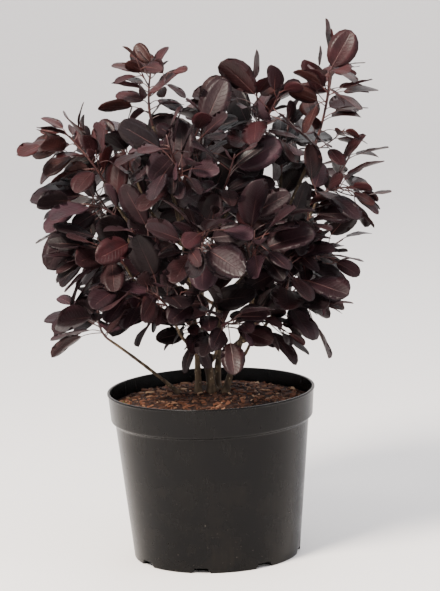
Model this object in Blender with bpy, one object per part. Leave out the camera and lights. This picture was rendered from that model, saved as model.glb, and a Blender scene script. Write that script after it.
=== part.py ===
"""Potted purple smoke bush: nursery pot, potting mix, bare limbs and masses of leafy shoots.

Metres, +Z up. The origin is the centre of the pot's flat underside and -Y is the front.
"""

import math
import random

import bmesh
import bpy
from mathutils import Vector
from mathutils.bvhtree import BVHTree

# Pot, a ten-litre nursery size
POT_HEIGHT = 0.227
POT_RIM_RADIUS = 0.140
POT_BASE_RADIUS = 0.1125
POT_WALL = 0.002
COLLAR_HEIGHT = 0.038
COLLAR_FOOT_RADIUS = 0.1362
COLLAR_STEP = 0.0055
STEP_DROP = 0.004
LIP_THICKNESS = 0.0032
BASE_EDGE = 0.003
LIP_DRAFT = 0.0012
RIM_EDGE = 0.0006
FLOOR_THICKNESS = 0.003
LEDGE_HEIGHT = 0.011
LEDGE_RADIUS = 0.094
NOTCH_COUNT = 8
NOTCH_WIDTH = 0.026
NOTCH_HEIGHT = 0.007
NOTCH_DEPTH = 0.015
NOTCH_TURN = math.radians(-11.5)
NOTCH_TOP_SHARE = 0.72
DRAIN_RADIUS = 0.004
DRAIN_SIDES = 6
POT_SIDES = 44

# Potting mix, mounded a little towards the stems
GAP = 0.0003
MIX_CROWN = 0.220
MIX_CROWN_RADIUS = 0.052
MIX_EDGE = 0.207
MIX_SIDES = 30

# Stems and boughs
STEM_SIDES = 7
STEM_RINGS = 9
ROOT_FLARE = 0.45
FLARE_HEIGHT = 0.012
FLARE_RING = 0.3
STEM_TAPER = 0.8
BOUGH_SIDES = 5
BOUGH_RINGS = 5
BOUGH_RADIUS = 0.0025
BOUGH_TIP_RADIUS = 0.0017
BOUGH_SAG = 0.09
BOUGH_BULGE = 0.05

# Twigs of the leafy shoots
TWIG_SIDES = 3
SHOOT_RINGS = 6
SIDE_SHOOT_RADIUS = 0.0018
SIDE_TWIG_RINGS = 4
SIDE_TWIG_RADIUS = 0.0015
TWIG_END_RADIUS = 0.0011
TWIG_KNEE = 0.42
SHOOT_RISE = 0.6
SIDE_TWIG_FOOT = (0.15, 0.55)
SIDE_TWIG_LENGTH = (0.65, 0.9)
SIDE_TWIG_LEAN = 0.75
SIDE_TWIG_RISE = 0.35
TRIES = 14
CLEARANCE = 0.0006

# Leaves; a pair is the least and the most of an even spread
GOLDEN_TURN = math.radians(137.508)
TURN_WANDER = 0.5
WANDER_GROWTH = 0.6
FIRST_LEAF = 0.12
FIRST_SIDE_LEAF = 0.3
LAST_LEAF = 0.985
YOUNG_FROM = 0.72
YOUNG_SHORTER = 0.42
YOUNG_PETIOLE = 0.35
YOUNG_STEEPER = 30
YOUNG_LIFT = 0.8
LEAF_SIZE = (0.82, 1.22)
LEAF_WIDTH = (0.50, 0.74)
LEAF_ARCH = (0.02, 0.20)
LEAF_FOLD = (0.05, 0.35)
LEAF_TILT = (-0.1, 1.1)
LEAF_ROLL = 0.5
LEAF_PULL = 0.35
LEAF_DROOP = 0.75
PETIOLE_SAG = 0.3
LEAF_FACE_OUT = 0.2
LEAF_SPREAD = (48.0, 72.0)
LEAF_THICKNESS = 0.0016
LEAF_STATIONS = ((0.36, 0.90), (0.77, 0.92))
LEAF_MIDDLE = 0.55
LEAF_TIP = 6 + len(LEAF_STATIONS)
BLADE_FACES = slice(4, None)
PETIOLE_LENGTH = (0.28, 0.62)
PETIOLE_ROOT_RADIUS = 0.00042
PETIOLE_RADIUS = 0.0007
PETIOLE_KEEL = 1.3
LOWEST_LEAF = MIX_CROWN + 0.004
CROWN_CENTRE = Vector((0.0, 0.02, 0.40))
UP = Vector((0.0, 0.0, 1.0))

# Stems rise from a foot on the potting mix, and radii are at their foot and tip; a bough leaves its stem at
# a height. The foot, tip and bow are places and distances in x, y and z.
LIMBS = {
    "stem_centre": dict(foot=(0.002, 0.007), tip=(-0.004, -0.005, 0.501), bow=(-0.007, 0.004, 0.0),
                        radii=(0.0058, 0.0026)),
    "stem_left": dict(foot=(-0.017, 0.004), tip=(-0.062, -0.018, 0.586), bow=(0.014, 0.006, 0.0),
                      radii=(0.0042, 0.0020)),
    "stem_right": dict(foot=(0.019, -0.001), tip=(0.142, 0.000, 0.527), bow=(-0.004, 0.006, 0.004),
                       radii=(0.0044, 0.0022)),
    "stem_back": dict(foot=(0.008, 0.026), tip=(0.020, 0.096, 0.500), bow=(0.004, -0.004, 0.0),
                      radii=(0.0046, 0.0021)),
    "stem_low_left": dict(foot=(-0.043, 0.006), tip=(-0.132, -0.025, 0.303), bow=(0.0, 0.0, 0.002),
                          radii=(0.0026, 0.0017)),
    "bough_top": dict(on="stem_centre", at=0.430, tip=(0.069, 0.020, 0.534)),
    "bough_upper_right": dict(on="stem_right", at=0.425, tip=(0.106, 0.034, 0.508)),
    "bough_far_left": dict(on="stem_left", at=0.395, tip=(-0.129, -0.015, 0.514)),
    "bough_left_upper": dict(on="stem_left", at=0.425, tip=(-0.088, 0.036, 0.507)),
    "bough_left_mid": dict(on="stem_left", at=0.360, tip=(-0.113, -0.034, 0.465)),
    "bough_left_low": dict(on="stem_left", at=0.318, tip=(-0.105, -0.050, 0.405)),
    "bough_front_upper": dict(on="stem_left", at=0.438, tip=(-0.027, -0.062, 0.499)),
    "bough_front": dict(on="stem_centre", at=0.345, tip=(-0.007, -0.080, 0.412)),
    "bough_front_left": dict(on="stem_left", at=0.285, tip=(-0.046, -0.070, 0.340)),
    "bough_front_low": dict(on="stem_centre", at=0.262, tip=(0.013, -0.070, 0.308)),
    "bough_front_right": dict(on="stem_right", at=0.330, tip=(0.058, -0.080, 0.396)),
    "bough_right_mid": dict(on="stem_right", at=0.405, tip=(0.150, -0.022, 0.478)),
    "bough_right_low": dict(on="stem_right", at=0.335, tip=(0.118, -0.024, 0.391)),
    "bough_bottom_right": dict(on="stem_right", at=0.290, tip=(0.092, -0.046, 0.345)),
    "bough_bottom_centre": dict(on="stem_right", at=0.258, tip=(0.062, -0.028, 0.312)),
    "bough_back_left": dict(on="stem_back", at=0.330, tip=(-0.070, 0.074, 0.440)),
    "bough_back_right": dict(on="stem_back", at=0.345, tip=(0.094, 0.078, 0.440)),
    "bough_back": dict(on="stem_back", at=0.300, tip=(0.010, 0.120, 0.385)),
    "bough_back_low_left": dict(on="stem_back", at=0.262, tip=(-0.064, 0.074, 0.322)),
    "bough_back_low_right": dict(on="stem_back", at=0.268, tip=(0.082, 0.082, 0.330)),
}

# Each mass grows on the tip of a limb, or on a stem's side where it gives a height. Its own stem ends at tip,
# its leaves stay within reach of that stem, and leaf is a mature leaf's length.
MASSES = {
    "shoot_high_right": dict(on="stem_right", tip=(0.182, -0.008, 0.680),
                             leaves=20, leaf=0.050, reach=0.110, twigs=1, seed=233),
    "shoot_high_left": dict(on="stem_left", tip=(-0.060, -0.020, 0.666),
                            leaves=12, leaf=0.044, reach=0.085, twigs=0, seed=248),
    "shoot_far_left": dict(on="bough_far_left", tip=(-0.179, -0.020, 0.584),
                           leaves=16, leaf=0.050, reach=0.090, twigs=1, seed=105),
    "shoot_left_mid": dict(on="bough_left_mid", tip=(-0.190, -0.024, 0.486),
                           leaves=12, leaf=0.060, reach=0.090, twigs=1, seed=250),
    "shoot_left_low": dict(on="bough_left_low", tip=(-0.170, -0.055, 0.420),
                           leaves=12, leaf=0.058, reach=0.090, twigs=1, seed=179),
    "shoot_low_left": dict(on="stem_low_left", tip=(-0.144, -0.040, 0.362),
                           leaves=8, leaf=0.060, reach=0.095, twigs=0, seed=212),
    "shoot_top": dict(on="bough_top", tip=(0.076, 0.015, 0.628),
                      leaves=16, leaf=0.054, reach=0.095, twigs=1, seed=59),
    "shoot_crown_left": dict(on="stem_centre", tip=(0.005, -0.030, 0.606),
                             leaves=12, leaf=0.056, reach=0.090, twigs=1, seed=250),
    "shoot_left_upper": dict(on="bough_left_upper", tip=(-0.112, 0.036, 0.575),
                             leaves=12, leaf=0.050, reach=0.085, twigs=1, seed=120),
    "shoot_upper_right": dict(on="bough_upper_right", tip=(0.121, 0.024, 0.580),
                              leaves=12, leaf=0.052, reach=0.085, twigs=1, seed=26),
    "shoot_right_mid": dict(on="bough_right_mid", tip=(0.194, -0.030, 0.496),
                            leaves=12, leaf=0.054, reach=0.095, twigs=1, seed=46),
    "shoot_right_low": dict(on="bough_right_low", tip=(0.172, -0.030, 0.402),
                            leaves=12, leaf=0.052, reach=0.085, twigs=1, seed=272),
    "shoot_bottom_right": dict(on="bough_bottom_right", tip=(0.150, -0.070, 0.345),
                               leaves=12, leaf=0.058, reach=0.090, twigs=1, seed=126),
    "shoot_bottom_centre": dict(on="bough_bottom_centre", tip=(0.102, -0.060, 0.312),
                                leaves=8, leaf=0.046, reach=0.080, twigs=0, seed=290),
    "shoot_front_upper": dict(on="bough_front_upper", tip=(-0.041, -0.120, 0.570),
                              leaves=12, leaf=0.058, reach=0.085, twigs=1, seed=196),
    "shoot_front": dict(on="bough_front", tip=(0.002, -0.160, 0.465),
                        leaves=12, leaf=0.058, reach=0.085, twigs=1, seed=271),
    "shoot_front_right": dict(on="bough_front_right", tip=(0.077, -0.145, 0.450),
                              leaves=12, leaf=0.058, reach=0.085, twigs=1, seed=24),
    "shoot_front_left": dict(on="bough_front_left", tip=(-0.078, -0.130, 0.385),
                             leaves=12, leaf=0.056, reach=0.085, twigs=1, seed=236),
    "shoot_front_low": dict(on="bough_front_low", tip=(0.037, -0.140, 0.345),
                            leaves=12, leaf=0.056, reach=0.085, twigs=1, seed=263),
    "shoot_heart_left": dict(on="stem_left", at=0.372, tip=(-0.094, -0.094, 0.462),
                             leaves=8, leaf=0.060, reach=0.080, twigs=0, seed=50),
    "shoot_heart_top": dict(on="stem_centre", at=0.448, tip=(0.044, -0.080, 0.552),
                            leaves=8, leaf=0.058, reach=0.080, twigs=0, seed=9),
    "shoot_heart_right": dict(on="stem_right", at=0.375, tip=(0.126, -0.085, 0.462),
                              leaves=8, leaf=0.056, reach=0.080, twigs=0, seed=272),
    "shoot_side_left": dict(on="stem_left", at=0.348, tip=(-0.128, 0.052, 0.430),
                            leaves=12, leaf=0.054, reach=0.085, twigs=1, seed=213),
    "shoot_side_right": dict(on="stem_right", at=0.360, tip=(0.158, 0.058, 0.452),
                             leaves=12, leaf=0.054, reach=0.085, twigs=1, seed=183),
    "shoot_heart_back": dict(on="stem_back", at=0.395, tip=(-0.030, 0.118, 0.490),
                             leaves=8, leaf=0.056, reach=0.080, twigs=0, seed=297),
    "shoot_foot": dict(on="stem_centre", at=0.300, tip=(-0.028, -0.045, 0.325),
                       leaves=8, leaf=0.046, reach=0.070, twigs=0, seed=340),
    "shoot_back_top": dict(on="stem_back", tip=(0.020, 0.090, 0.596),
                           leaves=12, leaf=0.056, reach=0.090, twigs=2, seed=179),
    "shoot_back_left": dict(on="bough_back_left", tip=(-0.118, 0.104, 0.505),
                            leaves=12, leaf=0.056, reach=0.085, twigs=1, seed=189),
    "shoot_back_right": dict(on="bough_back_right", tip=(0.142, 0.106, 0.505),
                             leaves=12, leaf=0.056, reach=0.085, twigs=1, seed=371),
    "shoot_back": dict(on="bough_back", tip=(0.010, 0.168, 0.455),
                       leaves=12, leaf=0.056, reach=0.085, twigs=1, seed=391),
    "shoot_back_low_left": dict(on="bough_back_low_left", tip=(-0.122, 0.104, 0.370),
                                leaves=12, leaf=0.056, reach=0.085, twigs=1, seed=122),
    "shoot_back_low_right": dict(on="bough_back_low_right", tip=(0.134, 0.112, 0.375),
                                 leaves=12, leaf=0.056, reach=0.085, twigs=1, seed=280),
}


def clear_scene():
    for obj in list(bpy.data.objects):
        bpy.data.objects.remove(obj, do_unlink=True)


def plain_material(name, colour, roughness):
    """A Principled material; colour is linear red, green and blue."""
    made = bpy.data.materials.new(name)
    made.use_nodes = True
    shader = made.node_tree.nodes["Principled BSDF"]
    shader.inputs["Base Color"].default_value = (*colour, 1.0)
    shader.inputs["Roughness"].default_value = roughness
    shader.inputs["Metallic"].default_value = 0.0
    return made


def mesh_object(name, verts, faces, material, smooth_angle=None):
    mesh = bpy.data.meshes.new(name)
    mesh.from_pydata([tuple(v) for v in verts], [], faces)
    mesh.materials.append(material)
    if smooth_angle is not None:
        mesh.shade_smooth()
        mesh.set_sharp_from_angle(angle=math.radians(smooth_angle))
    made = bpy.data.objects.new(name, mesh)
    bpy.context.scene.collection.objects.link(made)
    return made


def turned_object(name, profile, sides, material):
    """A closed profile of (radius, height) pairs, from the axis round to the axis, spun about Z."""
    shell = bmesh.new()
    ring = [shell.verts.new((r, 0.0, z)) for r, z in profile]
    edges = [shell.edges.new(pair) for pair in zip(ring, ring[1:])]
    bmesh.ops.spin(shell, geom=ring + edges, cent=(0, 0, 0), axis=(0, 0, 1), angle=math.tau, steps=sides,
                   use_merge=True)
    bmesh.ops.remove_doubles(shell, verts=shell.verts, dist=1e-6)
    bmesh.ops.recalc_face_normals(shell, faces=shell.faces)
    mesh = bpy.data.meshes.new(name)
    shell.to_mesh(mesh)
    shell.free()
    mesh.materials.append(material)
    mesh.shade_smooth()
    mesh.set_sharp_from_angle(angle=math.radians(32))
    made = bpy.data.objects.new(name, mesh)
    bpy.context.scene.collection.objects.link(made)
    return made


def cut(target, cutter, name):
    cutter.hide_render = True
    cutter.display_type = "WIRE"
    boolean = target.modifiers.new(name, "BOOLEAN")
    boolean.operation = "DIFFERENCE"
    boolean.object = cutter


def wall_radius(height):
    """Outer radius of the pot's body, below the collar, at a height."""
    top = POT_HEIGHT - COLLAR_HEIGHT - STEP_DROP
    under_collar = COLLAR_FOOT_RADIUS - COLLAR_STEP
    return POT_BASE_RADIUS + (under_collar - POT_BASE_RADIUS) * height / top


def build_pot(material):
    collar_foot = POT_HEIGHT - COLLAR_HEIGHT
    lip = POT_HEIGHT - LIP_THICKNESS
    outside = [
        (0.0, 0.0),
        (POT_BASE_RADIUS - BASE_EDGE, 0.0),
        (wall_radius(BASE_EDGE), BASE_EDGE),
        (wall_radius(collar_foot - STEP_DROP), collar_foot - STEP_DROP),
        (COLLAR_FOOT_RADIUS, collar_foot),
        (POT_RIM_RADIUS - LIP_DRAFT, lip),
        (POT_RIM_RADIUS, lip + 0.0008),
        (POT_RIM_RADIUS, POT_HEIGHT - RIM_EDGE),
        (POT_RIM_RADIUS - RIM_EDGE, POT_HEIGHT),
    ]
    inside = [
        (POT_RIM_RADIUS - POT_WALL - 0.0014, POT_HEIGHT),
        (COLLAR_FOOT_RADIUS - POT_WALL, collar_foot),
        (wall_radius(collar_foot - STEP_DROP) - POT_WALL, collar_foot - STEP_DROP),
        (wall_radius(LEDGE_HEIGHT) - POT_WALL, LEDGE_HEIGHT),
        (LEDGE_RADIUS, LEDGE_HEIGHT),
        (LEDGE_RADIUS, FLOOR_THICKNESS),
        (0.0, FLOOR_THICKNESS),
    ]
    pot = turned_object("pot", outside + inside, POT_SIDES, material)
    cut(pot, notch_cutter(), "notches")
    cut(pot, drain_cutter(), "drains")
    return pot


def notch_cutter():
    """Eight low arches at the foot of the wall, one mesh of separate blocks with sloping ends."""
    verts, faces = [], []
    outer = POT_BASE_RADIUS + 0.01
    inner = POT_BASE_RADIUS - NOTCH_DEPTH
    top = NOTCH_TOP_SHARE / 2
    for k in range(NOTCH_COUNT):
        turn = NOTCH_TURN - math.pi / 2 + k * math.tau / NOTCH_COUNT
        along = Vector((math.cos(turn), math.sin(turn), 0.0))
        side = Vector((-along.y, along.x, 0.0))
        first = len(verts)
        for radius in (inner, outer):
            for half, height in ((-0.5, -0.002), (0.5, -0.002), (top, NOTCH_HEIGHT), (-top, NOTCH_HEIGHT)):
                verts.append(along * radius + side * (half * NOTCH_WIDTH) + Vector((0, 0, height)))
        quads = ((0, 3, 2, 1), (4, 5, 6, 7), (0, 1, 5, 4), (1, 2, 6, 5), (2, 3, 7, 6), (3, 0, 4, 7))
        faces += [tuple(first + i for i in quad) for quad in quads]
    return mesh_object("notch_cutter", verts, faces, None)


def drain_cutter():
    """Eight drain holes that run up from the notches through the ledge inside."""
    verts, faces = [], []
    radius = (LEDGE_RADIUS + POT_BASE_RADIUS) / 2 + 0.001
    for k in range(NOTCH_COUNT):
        turn = NOTCH_TURN - math.pi / 2 + k * math.tau / NOTCH_COUNT
        centre = Vector((math.cos(turn) * radius, math.sin(turn) * radius, 0.0))
        first = len(verts)
        for height in (NOTCH_HEIGHT - 0.003, LEDGE_HEIGHT + 0.003):
            for i in range(DRAIN_SIDES):
                a = i * math.tau / DRAIN_SIDES
                offset = Vector((math.cos(a), math.sin(a), 0.0)) * DRAIN_RADIUS
                verts.append(centre + offset + Vector((0, 0, height)))
        faces.append(tuple(first + i for i in reversed(range(DRAIN_SIDES))))
        faces.append(tuple(first + DRAIN_SIDES + i for i in range(DRAIN_SIDES)))
        for i in range(DRAIN_SIDES):
            j = (i + 1) % DRAIN_SIDES
            faces.append((first + i, first + j, first + DRAIN_SIDES + j, first + DRAIN_SIDES + i))
    return mesh_object("drain_cutter", verts, faces, None)


def build_potting_mix(material):
    """Fills the pot to a low mound; the crown where the stems stand is level."""
    collar_foot = POT_HEIGHT - COLLAR_HEIGHT
    wall = POT_WALL + GAP * 2
    slope = (MIX_EDGE - collar_foot) / COLLAR_HEIGHT
    edge = COLLAR_FOOT_RADIUS + (POT_RIM_RADIUS - 0.0014 - COLLAR_FOOT_RADIUS) * slope - wall
    half = (MIX_CROWN_RADIUS + edge) / 2
    profile = [
        (0.0, FLOOR_THICKNESS + GAP),
        (LEDGE_RADIUS - GAP * 2, FLOOR_THICKNESS + GAP),
        (LEDGE_RADIUS - GAP * 2, LEDGE_HEIGHT + GAP),
        (wall_radius(LEDGE_HEIGHT + GAP) - wall, LEDGE_HEIGHT + GAP),
        (wall_radius(collar_foot - STEP_DROP) - wall, collar_foot - STEP_DROP + GAP),
        (COLLAR_FOOT_RADIUS - wall, collar_foot + GAP),
        (edge, MIX_EDGE),
        (half, MIX_EDGE + (MIX_CROWN - MIX_EDGE) * 0.55),
        (MIX_CROWN_RADIUS, MIX_CROWN),
        (0.0, MIX_CROWN),
    ]
    return turned_object("potting_mix", profile, MIX_SIDES, material)


def unit_across(axis, hint):
    """The part of hint that is square to axis, as a unit vector."""
    across = hint - axis * hint.dot(axis)
    if across.length < 1e-5:
        across = axis.orthogonal()
    return across.normalized()


def bowed_path(start, tip, bow, count):
    """Straight from start to tip, plus bow times a parabola that is 1 at mid-length."""
    steps = [i / (count - 1) for i in range(count)]
    return [start.lerp(tip, t) + bow * (4 * t * (1 - t)) for t in steps]


def kneed_path(start, direction, tip, count):
    """Leaves start along direction and reaches tip, as a quadratic curve with its knee on that direction."""
    knee = start + direction * ((tip - start).length * TWIG_KNEE)
    steps = [i / (count - 1) for i in range(count)]
    return [start * (1 - t) ** 2 + knee * (2 * t * (1 - t)) + tip * t * t for t in steps]


def tapered(thick, thin, count):
    return [thick + (thin - thick) * i / (count - 1) for i in range(count)]


def tangent_at(path, i):
    low, high = max(i - 1, 0), min(i + 1, len(path) - 1)
    return (path[high] - path[low]).normalized()


def along_path(path, t):
    """Point and direction at the share t of a path's steps."""
    place = min(max(t, 0.0), 1.0) * (len(path) - 1)
    i = min(int(place), len(path) - 2)
    point = path[i].lerp(path[i + 1], place - i)
    direction = tangent_at(path, i).lerp(tangent_at(path, i + 1), place - i)
    return point, direction.normalized()


def tube(path, radii, sides, foot_normal=None):
    """Rings along a path, closed at both ends; foot_normal turns the first ring into that plane."""
    verts, faces = [], []
    across = unit_across(tangent_at(path, 0), Vector((0.3, 1.0, 0.2)))
    for i, (centre, radius) in enumerate(zip(path, radii)):
        axis = tangent_at(path, i)
        across = unit_across(axis, across)
        other = axis.cross(across)
        for k in range(sides):
            a = k * math.tau / sides
            point = centre + (across * math.cos(a) + other * math.sin(a)) * radius
            if i == 0 and foot_normal is not None:
                point -= axis * ((point - centre).dot(foot_normal) / axis.dot(foot_normal))
            verts.append(point)
    last = len(path) - 1
    faces.append(tuple(reversed(range(sides))))
    faces.append(tuple(last * sides + k for k in range(sides)))
    for i in range(last):
        for k in range(sides):
            j = (k + 1) % sides
            faces.append((i * sides + k, i * sides + j, (i + 1) * sides + j, (i + 1) * sides + k))
    return verts, faces


def path_at_height(path, radii, height):
    """Point, direction and radius where a rising path passes a height."""
    for i in range(len(path) - 1):
        if path[i].z <= height <= path[i + 1].z:
            share = (height - path[i].z) / (path[i + 1].z - path[i].z)
            point = path[i].lerp(path[i + 1], share)
            direction = (path[i + 1] - path[i]).normalized()
            return point, direction, radii[i] + (radii[i + 1] - radii[i]) * share
    raise ValueError("the bough leaves its stem above the tip")


def lay_out_stem(limb):
    """A stem's radius falls a little faster near the foot, where a short flare is added to it."""
    start, tip = Vector((*limb["foot"], MIX_CROWN + GAP)), Vector(limb["tip"])
    path = bowed_path(start, tip, Vector(limb["bow"]), STEM_RINGS)
    path.insert(1, path[0].lerp(path[1], FLARE_RING))
    lift = [(point - start).length for point in path]
    thick, thin = limb["radii"]
    flares = [thick * ROOT_FLARE * math.exp(-d / FLARE_HEIGHT) for d in lift]
    radii = [thick + (thin - thick) * (d / lift[-1]) ** STEM_TAPER + flare for d, flare in zip(lift, flares)]
    return dict(path=path, radii=radii, sides=STEM_SIDES, foot_normal=UP)


def lay_out_bough(limb, parent):
    """A bough starts just clear of its stem, bulges outwards and sags, both as shares of its length."""
    point, axis, radius = path_at_height(parent["path"], parent["radii"], limb["at"])
    tip = Vector(limb["tip"])
    normal = unit_across(axis, tip - point)
    start = point + normal * (radius + GAP)
    reach = tip - start
    level = Vector((reach.x, reach.y, 0.0)).normalized()
    bow = (level * BOUGH_BULGE - UP * BOUGH_SAG) * reach.length
    path = bowed_path(start, tip, bow, BOUGH_RINGS)
    radii = tapered(BOUGH_RADIUS, BOUGH_TIP_RADIUS, BOUGH_RINGS)
    return dict(path=path, radii=radii, sides=BOUGH_SIDES, foot_normal=normal)


def lay_out_limbs():
    """Name to path, radii, sides and the plane of the lower end."""
    laid = {}
    for name, limb in LIMBS.items():
        laid[name] = lay_out_bough(limb, laid[limb["on"]]) if "on" in limb else lay_out_stem(limb)
    return laid


def leaf_solid(leaf, swell=0.0):
    """Closed mesh of one leaf: a three-sided petiole that opens into an arched, folded, obovate blade.

    The blade is a fan of faces about one point over the midrib and another under it."""
    root, heel = leaf["root"], leaf["heel"]
    along, up = leaf["along"], leaf["up"]
    half, length = leaf["width"] / 2, leaf["length"]
    side = up.cross(along)
    stalk = (heel - root).normalized()
    stalk_side = unit_across(stalk, side)
    stalk_up = stalk.cross(stalk_side)
    thin, thick = PETIOLE_ROOT_RADIUS + swell, PETIOLE_RADIUS + swell
    verts = [root + stalk_side * thin, root - stalk_side * thin, root - stalk_up * (thin * PETIOLE_KEEL)]
    verts += [heel + side * thick, heel - side * thick, heel - up * (thick * PETIOLE_KEEL)]

    def on_blade(share, across):
        point = heel + along * (length * share) - up * (length * leaf["arch"] * share * share)
        return point + side * across + up * (abs(across) * leaf["fold"])

    outline = [(share, half * fullness + swell) for share, fullness in LEAF_STATIONS]
    verts += [on_blade(share, across) for share, across in outline]
    verts.append(on_blade(1.0, 0.0) + along * swell)
    verts += [on_blade(share, -across) for share, across in reversed(outline)]
    middle = on_blade(LEAF_MIDDLE, 0.0)
    verts += [middle + up * (LEAF_THICKNESS / 2 + swell), middle - up * (LEAF_THICKNESS / 2 + swell)]
    over, under = len(verts) - 2, len(verts) - 1
    rim = [3] + list(range(6, over)) + [4]
    faces = [(0, 2, 1), (0, 1, 4, 3), (1, 2, 5, 4), (2, 0, 3, 5)]
    faces += [(4, 5, under), (5, 3, under), (3, 4, over)]
    faces += [(b, a, over) for a, b in zip(rim, rim[1:])]
    faces += [(a, b, under) for a, b in zip(rim, rim[1:])]
    return verts, faces


class Space:
    """What has grown so far, as closed meshes that nothing else may touch."""

    def __init__(self):
        self.solids = []

    def add(self, verts, faces, owner):
        low = Vector([min(v[k] for v in verts) for k in range(3)])
        high = Vector([max(v[k] for v in verts) for k in range(3)])
        self.solids.append((low, high, BVHTree.FromPolygons(verts, faces), owner))

    def meets(self, verts, faces, but=None, only=None):
        low = [min(v[k] for v in verts) for k in range(3)]
        high = [max(v[k] for v in verts) for k in range(3)]
        tree = None
        for low2, high2, other, owner in self.solids:
            if owner == but or (only and owner != only):
                continue
            if any(low[k] > high2[k] or high[k] < low2[k] for k in range(3)):
                continue
            tree = tree or BVHTree.FromPolygons(verts, faces)
            if tree.overlap(other):
                return True
        return False


def distance_to_path(point, path):
    best = 1e9
    for a, b in zip(path, path[1:]):
        edge = b - a
        share = min(max((point - a).dot(edge) / edge.length_squared, 0.0), 1.0)
        best = min(best, (a + edge * share - point).length)
    return best


def aim_leaf(rng, point, axis, turn, t, mass):
    """A leaf at the share t of a twig's length: young and steep near the tip, mature and drooping below."""
    hint = unit_across(axis, Vector((0.2, 0.3, 1.0)))
    out = hint * math.cos(turn) + axis.cross(hint) * math.sin(turn)
    outward = ((point - CROWN_CENTRE) * Vector((1, 1, 0))).normalized()
    young = max(0.0, (t - YOUNG_FROM) / (1 - YOUNG_FROM))
    spread = math.radians(rng.uniform(*LEAF_SPREAD) - YOUNG_STEEPER * young)
    stalk = out * math.sin(spread) + axis * math.cos(spread)
    length = mass["leaf"] * rng.uniform(*LEAF_SIZE) * (1 - YOUNG_SHORTER * young)
    petiole = length * rng.uniform(*PETIOLE_LENGTH) * (1 - YOUNG_PETIOLE * young)
    droop = rng.uniform(0.0, LEAF_DROOP) * (1 - YOUNG_LIFT * young)
    heel = point + (stalk - UP * (PETIOLE_SAG * droop)) * petiole
    along = (stalk + outward * LEAF_PULL - UP * droop).normalized()
    up = unit_across(along, UP + outward * rng.uniform(*LEAF_TILT) + out * LEAF_FACE_OUT)
    roll = rng.gauss(0.0, LEAF_ROLL)
    up = up * math.cos(roll) + along.cross(up) * math.sin(roll)
    width = length * rng.uniform(*LEAF_WIDTH)
    return dict(root=point, heel=heel, along=along, up=up, length=length, width=width,
                arch=rng.uniform(*LEAF_ARCH), fold=rng.uniform(*LEAF_FOLD))


def lay_out_shoot(mass, parent):
    """The mass's own stem: on from its limb's tip, or out of the limb's side at a height."""
    tip = Vector(mass["tip"])
    if "at" in mass:
        point, axis, radius = path_at_height(parent["path"], parent["radii"], mass["at"])
        foot_normal = unit_across(axis, tip - point)
        start = point + foot_normal * (radius + GAP)
        heading = (foot_normal + axis * SHOOT_RISE).normalized()
        thick = SIDE_SHOOT_RADIUS
    else:
        foot_normal = heading = tangent_at(parent["path"], len(parent["path"]) - 1)
        start = parent["path"][-1] + heading * GAP
        thick = parent["radii"][-1]
    path = kneed_path(start, heading, tip, SHOOT_RINGS)
    return path, tapered(thick, TWIG_END_RADIUS, SHOOT_RINGS), foot_normal


def lay_out_side_twig(rng, mass, shoot):
    point, axis = along_path(shoot, rng.uniform(*SIDE_TWIG_FOOT))
    turn = rng.uniform(0, math.tau)
    hint = unit_across(axis, point - CROWN_CENTRE)
    lean = (axis * SIDE_TWIG_LEAN + hint * math.cos(turn) + axis.cross(hint) * math.sin(turn)).normalized()
    length = mass["reach"] * rng.uniform(*SIDE_TWIG_LENGTH)
    tip = point + (lean + UP * SIDE_TWIG_RISE).normalized() * length
    path = kneed_path(point, lean, tip, SIDE_TWIG_RINGS)
    return path, tapered(SIDE_TWIG_RADIUS, TWIG_END_RADIUS, SIDE_TWIG_RINGS), None


def swollen(radii):
    return [radius + CLEARANCE for radius in radii]


def lay_out_twigs(laid, space):
    """Name to the mass's own stem and its side twigs, which all stand before any leaf grows."""
    grown = {}
    for name, mass in MASSES.items():
        path, radii, foot_normal = lay_out_shoot(mass, laid[mass["on"]])
        if space.meets(*tube(path, swollen(radii), TWIG_SIDES), but=mass["on"]):
            print("shoot meets another solid:", name)
        space.add(*tube(path, radii, TWIG_SIDES, foot_normal), name)
        grown[name] = [(path, radii, foot_normal)]
    for number, (name, mass) in enumerate(MASSES.items()):
        rng = random.Random(number)
        for _ in range(mass["twigs"]):
            for _ in range(TRIES):
                path, radii, _ = twig = lay_out_side_twig(rng, mass, grown[name][0][0])
                if not space.meets(*tube(path, swollen(radii), TWIG_SIDES), but=name):
                    grown[name].append(twig)
                    space.add(*tube(path, radii, TWIG_SIDES), name)
                    break
    return grown


def leaf_sites(mass, twigs):
    """Where leaves stand: point, direction, turn about the twig and share of its length, foot to tip."""
    lengths = [(path[-1] - path[0]).length for path, _, _ in twigs]
    counts = [round(mass["leaves"] * length / sum(lengths)) for length in lengths]
    counts[0] = mass["leaves"] - sum(counts[1:])
    sites = []
    for number, (path, _, _) in enumerate(twigs):
        first = FIRST_SIDE_LEAF if number else FIRST_LEAF
        for i in range(counts[number]):
            t = min(first + (1.0 - first) * (i + 0.6) / counts[number], LAST_LEAF)
            sites.append((*along_path(path, t), (number + i) * GOLDEN_TURN, t))
    return sites


def grow_leaves(name, mass, twigs, seed, space):
    """At each site the leaf is aimed anew until it is in reach, clear of the mix and meets nothing."""
    rng = random.Random(seed)
    shoot = twigs[0][0]
    leaves = []
    for point, axis, turn, t in leaf_sites(mass, twigs):
        for attempt in range(TRIES):
            wander = rng.uniform(-TURN_WANDER, TURN_WANDER) * (1 + WANDER_GROWTH * attempt)
            leaf = aim_leaf(rng, point, axis, turn + wander, t, mass)
            verts, faces = leaf_solid(leaf, CLEARANCE)
            if distance_to_path(verts[LEAF_TIP], shoot) > mass["reach"]:
                continue
            if min(vert.z for vert in verts) < LOWEST_LEAF:
                continue
            if space.meets(verts, faces, but=name) or space.meets(verts, faces[BLADE_FACES], only=name):
                continue
            space.add(*leaf_solid(leaf), (name, "leaf"))
            leaves.append(leaf)
            break
    return leaves


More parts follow.
